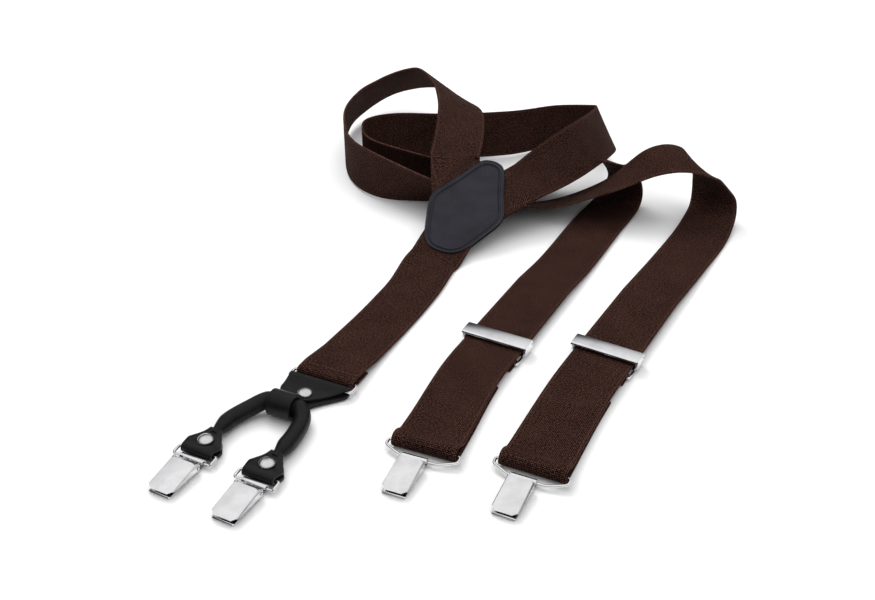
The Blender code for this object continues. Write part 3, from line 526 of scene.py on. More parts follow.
def sum_of(tree: bpy.types.NodeTree, kind: str, *values: object) -> bpy.types.NodeSocket:
    """A Math node's output; each value is a number or a socket.

    Args:
        tree: the tree that gets the node.
        kind: the node's operation.
        values: its inputs in order.

    Returns:
        The output.
    """
    node = tree.nodes.new("ShaderNodeMath")
    node.operation = kind
    for slot, value in zip(node.inputs, values):
        if isinstance(value, bpy.types.NodeSocket):
            tree.links.new(value, slot)
        else:
            slot.default_value = value
    return node.outputs[0]


def ramp(tree: bpy.types.NodeTree, fac: bpy.types.NodeSocket, *stops: tuple) -> bpy.types.NodeSocket:
    """A colour ramp's output; each stop is (position, (r, g, b)).

    Args:
        tree: the tree that gets the node.
        fac: what drives the ramp.
        stops: its colours in order.

    Returns:
        The colour output.
    """
    node = tree.nodes.new("ShaderNodeValToRGB")
    tree.links.new(fac, node.inputs[0])
    elements = node.color_ramp.elements
    while len(elements) < len(stops):
        elements.new(0.5)
    for element, (at, colour) in zip(elements, stops):
        element.position = at
        element.color = (*colour, 1.0)
    return node.outputs[0]


def noise(
    tree: bpy.types.NodeTree, vector: bpy.types.NodeSocket, scale: float, detail: float = 3.0
) -> bpy.types.NodeSocket:
    """A noise texture's factor.

    Args:
        tree: the tree that gets the node.
        vector: the coordinates to read.
        scale: how fine the noise is.
        detail: how many octaves it has.

    Returns:
        The factor output.
    """
    node = tree.nodes.new("ShaderNodeTexNoise")
    node.inputs["Scale"].default_value = scale
    node.inputs["Detail"].default_value = detail
    tree.links.new(vector, node.inputs["Vector"])
    return node.outputs[0]


def bump(
    tree: bpy.types.NodeTree, height: bpy.types.NodeSocket, shader: bpy.types.Node,
    depth: float, strength: float,
) -> None:
    """Put a height on the shader's normal; depth in millimetres.

    Args:
        tree: the tree that gets the node.
        height: the height to follow.
        shader: the shader that gets the normal.
        depth: the height of one unit, in millimetres.
        strength: how much of it shows.
    """
    node = tree.nodes.new("ShaderNodeBump")
    node.inputs["Strength"].default_value = strength
    node.inputs["Distance"].default_value = depth * MM
    tree.links.new(height, node.inputs["Height"])
    tree.links.new(node.outputs[0], shader.inputs["Normal"])


@dataclass(frozen=True)
class WebbingFinish:
    """Woven elastic: crossing yarns, pale flecks, dulled edges, and a painted edge highlight as a lighter
    band near each edge.
    """

    dark: tuple[float, float, float] = (0.0042, 0.0016, 0.0011)
    body: tuple[float, float, float] = (0.0105, 0.0038, 0.0027)
    fleck: tuple[float, float, float] = (0.115, 0.055, 0.043)
    yarn: float = 1.7
    # Distance from the middle to the painted edge highlight band, in millimetres.
    edge_highlight: float = 15.9

    def build(self) -> bpy.types.Material:
        """Make the material; it reads the strip's own UV map, in millimetres.

        Returns:
            The material.
        """
        made, tree, shader = nodes_of("woven elastic")
        uv = tree.nodes.new("ShaderNodeUVMap")
        uv.uv_map = "weave"
        split = tree.nodes.new("ShaderNodeSeparateXYZ")
        tree.links.new(uv.outputs[0], split.inputs[0])
        u, v = split.outputs[0], split.outputs[1]
        k = 2 * math.pi / self.yarn
        plus = sum_of(tree, "SINE", sum_of(tree, "MULTIPLY", sum_of(tree, "ADD", u, v), k))
        less = sum_of(tree, "SINE", sum_of(tree, "MULTIPLY", sum_of(tree, "SUBTRACT", u, v), k))
        cross = sum_of(tree, "MULTIPLY", plus, less)
        ribs = sum_of(tree, "SINE", sum_of(tree, "MULTIPLY", u, 2 * math.pi / 0.55))
        grain = noise(tree, uv.outputs[0], 1.1, 2.0)
        broad = noise(tree, uv.outputs[0], 0.05, 2.0)
        weave = sum_of(tree, "MULTIPLY_ADD", cross, 0.30, grain)
        weave = sum_of(tree, "MULTIPLY_ADD", broad, 0.12, weave)
        edge = sum_of(tree, "ABSOLUTE", u)
        # Painted highlight: a lighter band just inside each edge stands in for the light catching the strap's
        # edge.
        highlight_band = sum_of(tree, "COMPARE", edge, self.edge_highlight + 0.35, 0.4)
        weave = sum_of(tree, "MULTIPLY_ADD", highlight_band, 0.10, weave)
        stops = ((0.34, self.dark), (0.52, self.body), (0.60, self.body), (0.78, self.fleck))
        colour = ramp(tree, weave, *stops)
        tree.links.new(colour, shader.inputs["Base Color"])
        rough = sum_of(tree, "MULTIPLY_ADD", grain, 0.2, 0.72)
        tree.links.new(rough, shader.inputs["Roughness"])
        shader.inputs["Sheen Weight"].default_value = 0.0
        shader.inputs["Specular IOR Level"].default_value = 0.04
        height = sum_of(tree, "MULTIPLY_ADD", cross, 0.5, sum_of(tree, "MULTIPLY_ADD", ribs, 0.25, grain))
        bump(tree, height, shader, 0.22, 0.8)
        return made


@dataclass(frozen=True)
class LeatherFinish:
    """Smooth leather with fine grain, soft colour change and a slight gloss."""

    name: str
    low: tuple[float, float, float]
    high: tuple[float, float, float]
    roughness: float = 0.42
    grain: float = 900.0
    gloss: float = 0.12

    def build(self) -> bpy.types.Material:
        """Make the material; it reads Object coordinates, in metres.

        Returns:
            The material.
        """
        made, tree, shader = nodes_of(self.name)
        where = tree.nodes.new("ShaderNodeTexCoord").outputs["Object"]
        cells = tree.nodes.new("ShaderNodeTexVoronoi")
        cells.inputs["Scale"].default_value = self.grain
        tree.links.new(where, cells.inputs["Vector"])
        fine = noise(tree, where, self.grain * 1.6, 4.0)
        broad = noise(tree, where, 70.0, 3.0)
        tone = sum_of(tree, "MULTIPLY_ADD", cells.outputs[0], 0.25, broad)
        tree.links.new(ramp(tree, tone, (0.35, self.low), (0.8, self.high)), shader.inputs["Base Color"])
        rough = sum_of(tree, "MULTIPLY_ADD", broad, 0.18, self.roughness - 0.09)
        tree.links.new(rough, shader.inputs["Roughness"])
        shader.inputs["Specular IOR Level"].default_value = self.gloss
        height = sum_of(tree, "MULTIPLY_ADD", fine, 0.4, cells.outputs[0])
        bump(tree, height, shader, 0.12, 0.45)
        return made


@dataclass(frozen=True)
class MetalFinish:
    """Plated or brushed steel with faint rubbing marks."""

    name: str
    colour: tuple[float, float, float]
    roughness: float
    marks: float = 0.08

    def build(self) -> bpy.types.Material:
        """Make the material.

        Returns:
            The material.
        """
        made, tree, shader = nodes_of(self.name)
        where = tree.nodes.new("ShaderNodeTexCoord").outputs["Object"]
        shader.inputs["Metallic"].default_value = 1.0
        broad = noise(tree, where, 120.0, 4.0)
        fine = noise(tree, where, 2200.0, 2.0)
        dull = tuple(c * 0.86 for c in self.colour)
        tree.links.new(ramp(tree, broad, (0.3, dull), (0.6, self.colour)), shader.inputs["Base Color"])
        rough = sum_of(tree, "MULTIPLY_ADD", broad, self.marks, self.roughness)
        tree.links.new(rough, shader.inputs["Roughness"])
        bump(tree, fine, shader, 0.02, 0.15)
        return made


@dataclass(frozen=True)
class ThreadFinish:
    """Sewing thread with a fine twist."""

    name: str
    colour: tuple[float, float, float]

    def build(self) -> bpy.types.Material:
        """Make the material.

        Returns:
            The material.
        """
        made, tree, shader = nodes_of(self.name)
        where = tree.nodes.new("ShaderNodeTexCoord").outputs["Object"]
        twist = noise(tree, where, 3500.0, 2.0)
        dark = tuple(c * 0.6 for c in self.colour)
        tree.links.new(ramp(tree, twist, (0.35, dark), (0.65, self.colour)), shader.inputs["Base Color"])
        shader.inputs["Roughness"].default_value = 0.6
        bump(tree, twist, shader, 0.05, 0.6)
        return made


@dataclass
class Finishes:
    """Every finish of the suspenders, made once."""

    webbing: bpy.types.Material = field(default_factory=lambda: WebbingFinish().build())
    slate: bpy.types.Material = field(
        default_factory=lambda: LeatherFinish(
            "slate leather", (0.0075, 0.0075, 0.012), (0.017, 0.0165, 0.025), 0.34, 1100.0, 0.2
        ).build()
    )
    # Painted highlight: the rim finish is lighter than the field to stand in for the light catching the
    # raised rolled rim.
    rim: bpy.types.Material = field(
        default_factory=lambda: LeatherFinish(
            "slate rim", (0.012, 0.014, 0.021), (0.03, 0.035, 0.048), 0.3, 1400.0, 0.35
        ).build()
    )
    lining: bpy.types.Material = field(
        default_factory=lambda: LeatherFinish(
            "lining leather", (0.012, 0.012, 0.014), (0.03, 0.03, 0.034), 0.7, 700.0, 0.05
        ).build()
    )
    black: bpy.types.Material = field(
        default_factory=lambda: LeatherFinish(
            "black leather", (0.0045, 0.0045, 0.005), (0.012, 0.0115, 0.012), 0.36, 1000.0, 0.14
        ).build()
    )
    chrome: bpy.types.Material = field(
        default_factory=lambda: MetalFinish("bright plating", (0.82, 0.82, 0.83), 0.09).build()
    )
    rivet: bpy.types.Material = field(
        default_factory=lambda: MetalFinish("rivet steel", (0.72, 0.71, 0.70), 0.22).build()
    )
    rubber: bpy.types.Material = field(
        default_factory=lambda: LeatherFinish(
            "jaw rubber", (0.008, 0.008, 0.008), (0.018, 0.018, 0.018), 0.75, 2000.0, 0.1
        ).build()
    )
    thread: bpy.types.Material = field(
        default_factory=lambda: ThreadFinish("dark thread", (0.012, 0.011, 0.012)).build()
    )
    brown_thread: bpy.types.Material = field(
        default_factory=lambda: ThreadFinish("brown thread", (0.05, 0.028, 0.02)).build()
    )


def dress(obj: bpy.types.Object, look: bpy.types.Material, body: str) -> bpy.types.Object:
    """Give a piece its material and the body it rides on.

    Args:
        obj: the piece.
        look: its material.
        body: the body it rides on.

    Returns:
        The same piece.
    """
    obj.data.materials.clear()
    obj.data.materials.append(look)
    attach(obj, body)
    LOG.info("%s rides on %s", obj.name, body)
    return obj


def stitches(
    name: str, spots: list[tuple[Vector, Vector, Vector]], length: float, radius: float
) -> bpy.types.Object:
    """One mesh of small thread stitches.

    Args:
        name: the piece's name.
        spots: (middle, direction along the thread, direction out of the cloth) of each stitch.
        length: length of one stitch in millimetres.
        radius: radius of the thread.

    Returns:
        The stitches as one piece.
    """
    deselect()
    bpy.ops.mesh.primitive_uv_sphere_add(segments=8, ring_count=6, radius=1.0)
    first = bpy.context.object
    copies = []
    for middle, way, out in spots:
        copy = first.copy()
        copy.data = first.data.copy()
        bpy.context.scene.collection.objects.link(copy)
        way = way.normalized()
        side = out.cross(way).normalized()
        up = way.cross(side)
        turn = Matrix((way * length / 2, side * radius, up * radius)).transposed().to_4x4()
        copy.data.transform(Matrix.Scale(MM, 4) @ Matrix.Translation(middle) @ turn)
        copies.append(copy)
    bpy.data.objects.remove(first)
    deselect()
    for copy in copies:
        copy.select_set(True)
    bpy.context.view_layer.objects.active = copies[0]
    bpy.ops.object.join()
    made = bpy.context.object
    made.name = name
    made.data.name = name
    smooth_shade(made, 80.0)
    return made


# ---------------------------------------------------------------- straps
@dataclass
class FrontStrap:
    """One front strap: fork, laid loop, straight run, folded end and sewn end."""

    side: Side
    fork: int
    puff: float = 7.6
    step: float = 2.0

    def fork_rows(self) -> list[Row]:
        """Rows sewn between the patch leathers.

        Returns:
            The rows, from the fork to where the strap leaves the patch.
        """
        plane = patch_place()
        turn = math.radians(FORK_ANGLE) * self.fork
        way = Vector((math.cos(turn), math.sin(turn), 0.0))
        left = Vector((-way.y, way.x, 0.0))
        inner = S.half / math.tan(math.radians(FORK_ANGLE)) + 1.2
        outer = inner - 22.0
        leave = 46.0 / math.cos(turn) + S.half * math.tan(math.radians(FORK_ANGLE)) * 0.5
        apex = Vector((FORK_APEX, 0.0, 0.0))
        rows = []
        middle = ((inner + leave) / 2, outer + 9.0)
        steps = ((inner, outer), middle, (leave, outer + 18.0), (leave + 1.5, leave + 1.0))
        for d_inner, d_outer in steps:
            d_left, d_right = (d_outer, d_inner) if self.fork > 0 else (d_inner, d_outer)
            left_edge = plane @ (apex + way * d_left + left * S.half)
            right_edge = plane @ (apex + way * d_right - left * S.half)
            rows.append((left_edge, right_edge))
        return rows

    def plan(self) -> list[tuple[float, float, float]]:
        """Plan of the run from the slider to the folded end.

        Returns:
            Points (x, y, heading), in layout coordinates.
        """
        (ex, ey, eh), (sx, sy, sh) = FRONT_ENDS[self.side]
        way = Vector((math.cos(math.radians(sh)), math.sin(math.radians(sh))))
        last = Vector((math.cos(math.radians(eh)), math.sin(math.radians(eh))))
        start = Vector((sx, sy)) + way * RUN_BELOW
        end = Vector((ex, ey)) - last * 14.0
        span = (end - start).length
        made = []
        for k in range(6):
            t = k / 5
            ease = 3 * t * t - 2 * t ** 3
            spot = start * (1 - ease) + way * span * (t ** 3 - 2 * t * t + t)
            spot = spot + end * ease + last * span * (t ** 3 - t * t)
            made.append((spot.x, spot.y, sh + (eh - sh) * ease))
        return made

    def end_rows(self) -> list[Row]:
        """Rows over the slider to the fold, and round it to the sewn end.

        Returns:
            The rows.
        """
        (ex, ey, eh), (sx, sy, sh) = FRONT_ENDS[self.side]
        way = (math.cos(math.radians(sh)), math.sin(math.radians(sh)))
        spots = []
        for back in (RUN_ABOVE, RUN_ABOVE / 2, 0.0, -RUN_BELOW + 6.0):
            spots.append((sx - way[0] * back, sy - way[1] * back, S.run_z, sh))
        plan = self.plan()
        for (x, y, h), z in zip(plan, (S.run_z, 4.2, 3.9, 3.8, 4.0, 4.6)):
            spots.append((x, y, z, h))
        last = (math.cos(math.radians(eh)), math.sin(math.radians(eh)))
        fold = ((-10.5, 6.2), (-7.5, self.puff), (-4.6, self.puff + 0.2), (-2.6, 6.6), (-1.95, 4.6),
                (-2.3, 2.7), (-4.0, 1.3), (-7.0, S.gap + S.web_thick / 2))
        for a, z in fold:
            spots.append((ex + last[0] * a, ey + last[1] * a, z, eh))
        for x, y, h in list(reversed(plan))[:-1]:
            spots.append((x, y, S.gap + S.web_thick / 2, h))
        rows = []
        for x, y, z, heading in spots:
            reach = across(heading + 90.0, 0.0) * S.half
            spot = Vector((x - LAY[0], y - LAY[1], z))
            rows.append((spot + reach, spot - reach))
        return rows

    def build(self, looks: Finishes) -> bpy.types.Object:
        """Args:
            looks: every finish of the suspenders.

        Returns:
            The finished strap.
        """
        start = self.fork_rows()
        mid = (start[-1][0] + start[-1][1]) / 2
        plane = patch_place()
        turn = math.radians(FORK_ANGLE) * self.fork
        side = plane.to_3x3() @ Vector((-math.sin(turn), math.cos(turn), 0.0))
        (sx, sy, sh) = FRONT_ENDS[self.side][1]
        heading = math.degrees(math.atan2(side.y, side.x))
        heading += 360.0 * round((WAYPOINTS[self.side][0][3] - heading) / 360.0)
        lead = (mid.x + LAY[0], mid.y + LAY[1], mid.z, heading,
                math.degrees(math.atan2(side.z, math.hypot(side.x, side.y))))
        back = math.radians(sh)
        final = (sx - math.cos(back) * RUN_ABOVE, sy - math.sin(back) * RUN_ABOVE, S.run_z, sh + 270.0, 180.0)
        body = strap_rows(smooth([lead, *WAYPOINTS[self.side], final], 12))
        rows = straight(start[:-1], 6) + body[:-1] + finer(self.end_rows(), 6)
        rows = even(rows, self.step)
        name = f"strap_{self.side.value}"
        obj = strip_mesh(name, rows, S.web_thick, 10)
        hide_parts(f"front_strap_{self.side.value}")
        dress(obj, looks.webbing, "straps")
        return obj

    def sewn(self, looks: Finishes) -> None:
        """The hemmed end round the slider's bar.

        Args:
            looks: every finish of the suspenders.
        """
        sx, sy, sh = FRONT_ENDS[self.side][1]
        frame = place_at(sx, sy, 0.0, sh)
        reach = S.sewn_thick / 2
        mid = 2 * S.gap + S.sewn_thick + S.steel / 2
        radius = S.steel / 2 + S.gap + reach
        low = mid - radius
        bar = 11.4
        nose = bar - S.gap - reach - 0.1
        layer = S.gap + S.web_thick / 2
        profile = [(RUN_BELOW - 2.2, layer), (bar + 4.5, layer), (bar + 2.6, low)]
        profile += [(nose + radius * 0.6, low), (nose, mid - radius * 0.55), (nose, mid + radius * 0.55)]
        profile += [(nose + radius * 0.6, mid + radius), (bar + 2.6 + S.gap, mid + radius)]
        rows = strip_rows(profile, S.half, frame)
        obj = strip_mesh(f"sewn_end_{self.side.value}", rows, S.sewn_thick, 6)
        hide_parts(f"front_strap_{self.side.value}_sewn_end")
        dress(obj, looks.webbing, f"slider_{self.side.value}")


@dataclass
class BackStrap:
    """The single back strap from the patch to the back ring."""

    step: float = 2.0
    seam: float = 5.0

    def build(self, looks: Finishes) -> None:
        """Args:
            looks: every finish of the suspenders.
        """
        plane = patch_place()
        side = plane.to_3x3() @ Vector((0.0, -1.0, 0.0))
        turn = math.degrees(math.atan2(side.y, side.x)) + 360.0
        lean = math.degrees(math.atan2(side.z, math.hypot(side.x, side.y)))
        start = []
        for s in (-12.6, -24.0, -35.0, -46.0):
            spot = plane @ Vector((s, 0.0, 0.0))
            start.append((spot.x + LAY[0], spot.y + LAY[1], spot.z, turn, lean))
        rows = strap_rows(smooth([*start, *BACK_WAYPOINTS], 6))
        x, y, heading = RING
        frame = moved(place_at(x, y, 0.0, heading), along=-RING_HALF_SPAN, up=RING_Z)
        radius = S.ring_wire / 2 + S.gap + S.web_thick / 2 + 0.07
        profile = [(-15.0, radius - 1.2), (-8.0, radius - 0.1), *arc(radius, 90.0, -90.0, 10)]
        profile += [(-8.0, -radius), (-16.0, -radius - 0.2)]
        tail = strip_rows(profile, S.half, frame)
        rows = even(rows[:-1] + finer([rows[-1], *tail[:3]], 4)[:-1] + tail[2:], self.step * 0.6)
        obj = strip_mesh("strap_back", rows, S.web_thick, 10)
        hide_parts("back_strap")
        dress(obj, looks.webbing, "straps")
        seam = []
        across_way = frame.to_3x3() @ Vector((0.0, 1.0, 0.0))
        up = Vector((0.0, 0.0, 1.0))
        count = 13
        for k in range(count):
            left = (k / (count - 1) - 0.5) * (S.web_width - 3.0)
            spot = frame @ Vector((-self.seam, left, radius + S.web_thick / 2 - 0.02))
            seam.append((spot, across_way, up))
        row = dress(stitches("back_seam", seam, 2.0, 0.28), looks.brown_thread, "straps")


# ---------------------------------------------------------------- patch
@dataclass
class BackPatch:
    """Leather patch over the fork: rolled rim, sewn channel and padded field, over a lining."""

    rim: float = 2.3
    points: int = 128
    stitch: float = 2.3

    def outline(self, count: int) -> list[Vector]:
        """Evenly spaced points on the patch's edge, in its own plane.

        Args:
            count: how many points.

        Returns:
            The points, in order round the edge.
        """
        half = [(float(s), float(t)) for s, t in HALF_OUTLINE]
        full = half + [(s, -t) for s, t in reversed(half[1:-1])]
        loop = full[-3:] + full + full[:3]
        fine = [Vector((p[0], p[1], 0.0)) for p in smooth(loop, 10)][30:-20]
        run = [0.0]
        for a, b in zip(fine, fine[1:]):
            run.append(run[-1] + (b - a).length)
        made = []
        k = 0
        for i in range(count):
            want = run[-1] * i / count
            while run[k + 1] < want:
                k += 1
            made.append(fine[k].lerp(fine[k + 1], (want - run[k]) / max(run[k + 1] - run[k], 1e-9)))
        return made

    def slab(self, name: str, low: float, high: float) -> bpy.types.Object:
        """A slab of the patch's outline, its upper face selected in edit mode.

        Args:
            name: the piece's name.
            low: height of its lower face, in millimetres.
            high: height of its upper face.

        Returns:
            The slab, still in edit mode.
        """
        deselect()
        bpy.ops.mesh.primitive_circle_add(vertices=self.points, radius=1.0, fill_type="NGON")
        obj = bpy.context.object
        obj.name = name
        obj.data.name = name
        spots = self.outline(self.points)
        corners = obj.data.vertices
        order = sorted(range(self.points), key=lambda i: math.atan2(corners[i].co.y, corners[i].co.x))
        turn = sum(a.cross(b).z for a, b in zip(spots, spots[1:] + spots[:1]))
        if turn < 0:
            spots = spots[::-1]
        for i, spot in zip(order, spots):
            obj.data.vertices[i].co = Vector((spot.x, spot.y, low)) * MM
        bpy.ops.object.mode_set(mode="EDIT")
        bpy.ops.mesh.select_all(action="SELECT")
        bpy.ops.mesh.normals_make_consistent(inside=False)
        bpy.ops.mesh.extrude_region_move(TRANSFORM_OT_translate={"value": (0.0, 0.0, (high - low) * MM)})
        return obj

    def place(self, obj: bpy.types.Object) -> None:
        """Put a finished slab in the patch's plane, its place in its mesh.

        Args:
            obj: the slab.
        """
        frame = patch_place()
        frame.translation *= MM
        bpy.ops.object.mode_set(mode="OBJECT")
        obj.data.transform(frame)
        pick(obj)
        bpy.ops.object.mode_set(mode="EDIT")
        bpy.ops.mesh.select_all(action="SELECT")
        bpy.ops.mesh.normals_make_consistent(inside=False)
        bpy.ops.object.mode_set(mode="OBJECT")

    def build(self, looks: Finishes) -> None:
        """Model and dress the top leather, its stitches and the lining.

        Args:
            looks: every finish of the suspenders.
        """
        low = S.web_thick / 2 + S.gap
        top = self.slab("patch_leather", low, low + 0.7)
        steps = ((0.25, 0.45), (0.45, 0.3), (0.5, 0.08), (0.5, -0.12), (0.4, -0.35), (0.35, -0.55))
        steps += ((0.5, -0.12), (0.5, 0.1), (0.3, 0.55), (0.45, 0.35), (0.9, 0.18), (1.8, 0.12), (3.0, 0.1))
        for thickness, depth in steps:
            bpy.ops.mesh.inset(thickness=thickness * MM, depth=depth * MM)
        bpy.ops.mesh.poke()
        self.place(top)
        apply_all(top)
        smooth_shade(top, 60.0)
        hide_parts("patch_top")
        dress(top, looks.slate, "straps")
        # The rim faces get the lighter finish, a painted highlight on the raised rim.
        top.data.materials.append(looks.rim)
        frame = patch_place()
        inverse = frame.inverted()
        ring = self.outline(400)
        for face in top.data.polygons:
            spot = inverse @ (Vector(face.center) / MM)
            off = min((Vector((spot.x, spot.y, 0.0)) - p).length for p in ring)
            face.material_index = 1 if off < self.rim - 0.1 else 0
        edge = self.outline(round(sum((a - b).length for a, b in zip(ring, ring[1:])) / (self.stitch + 0.8)))
        spots = []
        count = len(edge)
        for k, point in enumerate(edge):
            way = edge[(k + 1) % count] - edge[k - 1]
            inward = Vector((way.y, -way.x, 0.0)).normalized()
            if (point + inward).length > point.length:
                inward = -inward
            spot = point + inward * (self.rim + 0.75)
            spot.z = low + 0.86
            spots.append((frame @ spot, frame.to_3x3() @ way, frame.to_3x3() @ Vector((0, 0, 1))))
        dress(stitches("patch_stitches", spots, self.stitch, 0.3), looks.thread, "straps")
        lining = self.slab("patch_backing", -low - S.lining_thick, -low)
        self.place(lining)
        soften(lining, 0.3, 2, 50.0)
        apply_all(lining)
        smooth_shade(lining, 45.0)
        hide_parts("patch_lining")
        dress(lining, looks.lining, "straps")


# ---------------------------------------------------------------- leather fittings
@dataclass
class BackTab:
    """Black leather tab folded round the ring, narrowing to the wrap that holds the cord."""

    fold_steps: int = 10

    def rows(self) -> list[Row]:
        """Edges of the leather, from the flap's tip to the end of the wrap.

        Returns:
            The rows.
        """
        x, y, heading = RING
        ring = place_at(x, y, 0.0, heading)
        place = moved(ring, along=RING_HALF_SPAN, up=RING_Z)
        fold = S.ring_wire / 2 + S.gap + S.leather / 2 + 0.07
        rise = S.high_z - RING_Z
        flap = (
            ((21.6, -6.5), (21.2, -9.5), 1.0), ((20.9, -2.2), (19.9, -13.0), 1.0),
            ((19.2, 1.6), (17.6, -16.0), 1.0), ((16.0, 5.4), (14.4, -17.6), 1.0),
            ((12.6, 9.2), (11.4, -17.9), 1.0), ((9.4, 12.4), (9.0, -18.0), 0.85),
            ((6.4, 15.6), (6.4, -18.0), 0.45), ((4.6, 17.6), (4.6, -18.0), 0.1),
        )
        rows = []
        for first, second, drop in flap:
            up = fold + (rise - fold) * drop
            rows.append((place @ Vector((first[0] - RING_HALF_SPAN, first[1], up)),
                         place @ Vector((second[0] - RING_HALF_SPAN, second[1], up))))
        rows += strip_rows(arc(fold, 90.0, 270.0, self.fold_steps), S.tab_width / 2, place)
        ax, al, turn = WRAP
        neck = (
            (6.5, 17.2, -17.9), (12.0, 12.4, -17.2), (18.0, 6.9, -14.8),
            (23.0, 3.4, al - S.wrap_width / 2 - 0.6),
            (26.5, al + S.wrap_width / 2, al - S.wrap_width / 2),
        )
        for along, left, right in neck:
            rows.append((place @ Vector((along - RING_HALF_SPAN, left, -fold)),
                         place @ Vector((along - RING_HALF_SPAN, right, -fold))))
        hub = moved(ring, along=ax, left=al, up=WRAP_Z, turn=turn)
        round_it = S.cord_dia / 2 + 3 * S.gap + S.leather / 2
        rows += strip_rows(arc(round_it, -90.0, 178.0, 16), S.wrap_width / 2, hub)
        return rows

    def build(self, looks: Finishes) -> None:
        """Model and dress the tab.

        Args:
            looks: every finish of the suspenders.
        """
        rows = finer(self.rows(), 3)
        obj = strip_mesh("leather_tab", rows, S.leather, 12)
        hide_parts("back_tab")
        dress(obj, looks.black, "back_tab")


@dataclass
class LeatherCord:
    """Rolled leather cord, and flat tabs folded round the back hangers."""

    neck: float = -15.5
    tab_width: float = 19.0

    def hub(self) -> Matrix:
        """Frame on the cord's axis inside the wrap.

        Returns:
            The frame, with Y along the cord.
        """
        x, y, heading = RING
        ax, al, turn = WRAP
        return moved(place_at(x, y, 0.0, heading), along=ax, left=al, up=WRAP_Z, turn=turn)

    def path(self) -> list[Vector]:
        """Middle line of the cord from the left tab to the right one.

        Returns:
            Points along the middle line, in millimetres.
        """
        hub = self.hub()
        reach = S.wrap_width / 2
        radius = S.cord_dia / 2
        left = place_at(*CORD_TABS[Side.LEFT][:2], 0.0, CORD_TABS[Side.LEFT][2])
        right = place_at(*CORD_TABS[Side.RIGHT][:2], 0.0, CORD_TABS[Side.RIGHT][2])
        spots = [
            left @ Vector((self.neck, 0.0, radius + S.gap)),
            left @ Vector((self.neck - 7.0, 0.0, radius + 0.6)),
            Vector((-106.4 - LAY[0], 426.0 - LAY[1], 5.2)),
            Vector((-98.4 - LAY[0], 433.4 - LAY[1], 5.8)),
            hub @ Vector((0.0, -reach - 3.0, 0.0)),
            hub @ Vector((0.0, -reach / 2, 0.0)),
            hub @ Vector((0.0, reach / 2, 0.0)),
            hub @ Vector((0.0, reach + 2.4, 0.0)),
            Vector((-69.8 - LAY[0], 423.6 - LAY[1], 5.8)),
            Vector((-72.2 - LAY[0], 413.4 - LAY[1], 5.2)),
            right @ Vector((self.neck - 7.0, 0.0, radius + 0.6)),
            right @ Vector((self.neck, 0.0, radius + S.gap)),
        ]
        return [Vector(p) for p in smooth([tuple(s) for s in spots], 12)]

    def build(self, looks: Finishes) -> None:
        """Model and dress the cord and its two tabs.

        Args:
            looks: every finish of the suspenders.
        """
        cord = tube("rolled_cord", self.path(), S.cord_dia / 2 - 0.15, 0.55, 11.0)
        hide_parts("leather_cord")
        dress(cord, looks.black, "cord")
        fold = S.wire_dia / 2 + S.gap + S.leather / 2 + 0.07
        hanger_back = -(S.leather + S.gap + S.wire_dia / 2)
        hanger_z = S.low_z + S.leather / 2 + S.gap + S.wire_dia / 2
        for side, (x, y, heading) in CORD_TABS.items():
            place = moved(place_at(x, y, 0.0, heading), along=hanger_back, up=hanger_z)
            wide = self.tab_width / 2
            root = self.neck - hanger_back
            high = CORD_TAB_HIGH - hanger_z
            low = S.low_z - hanger_z
            profile = [
                (root - 2.8, high + 1.2), (root - 0.5, high + 0.7), (root + 2.0, high), (root + 5.5, high),
                (-5.2, high), (-2.6, (high + fold) / 2 + 0.2),
            ]
            half = [3.6, 4.6, 6.4, wide * 0.92, wide + 0.5, wide]
            bend = arc(fold, 90.0, -90.0, 8)
            profile += [*bend, (-5.2, low), (root + 5.5, low), (root + 2.0, low), (root - 0.5, low)]
            half += [wide - 0.5] * len(bend) + [wide + 0.5, wide * 0.92, 6.4, 3.4]
            rows = finer(strip_rows(profile, half, place), 3)
            tab = strip_mesh(f"cord_tab_{side.value}", rows, S.leather, 8)
            dress(tab, looks.black, "cord")


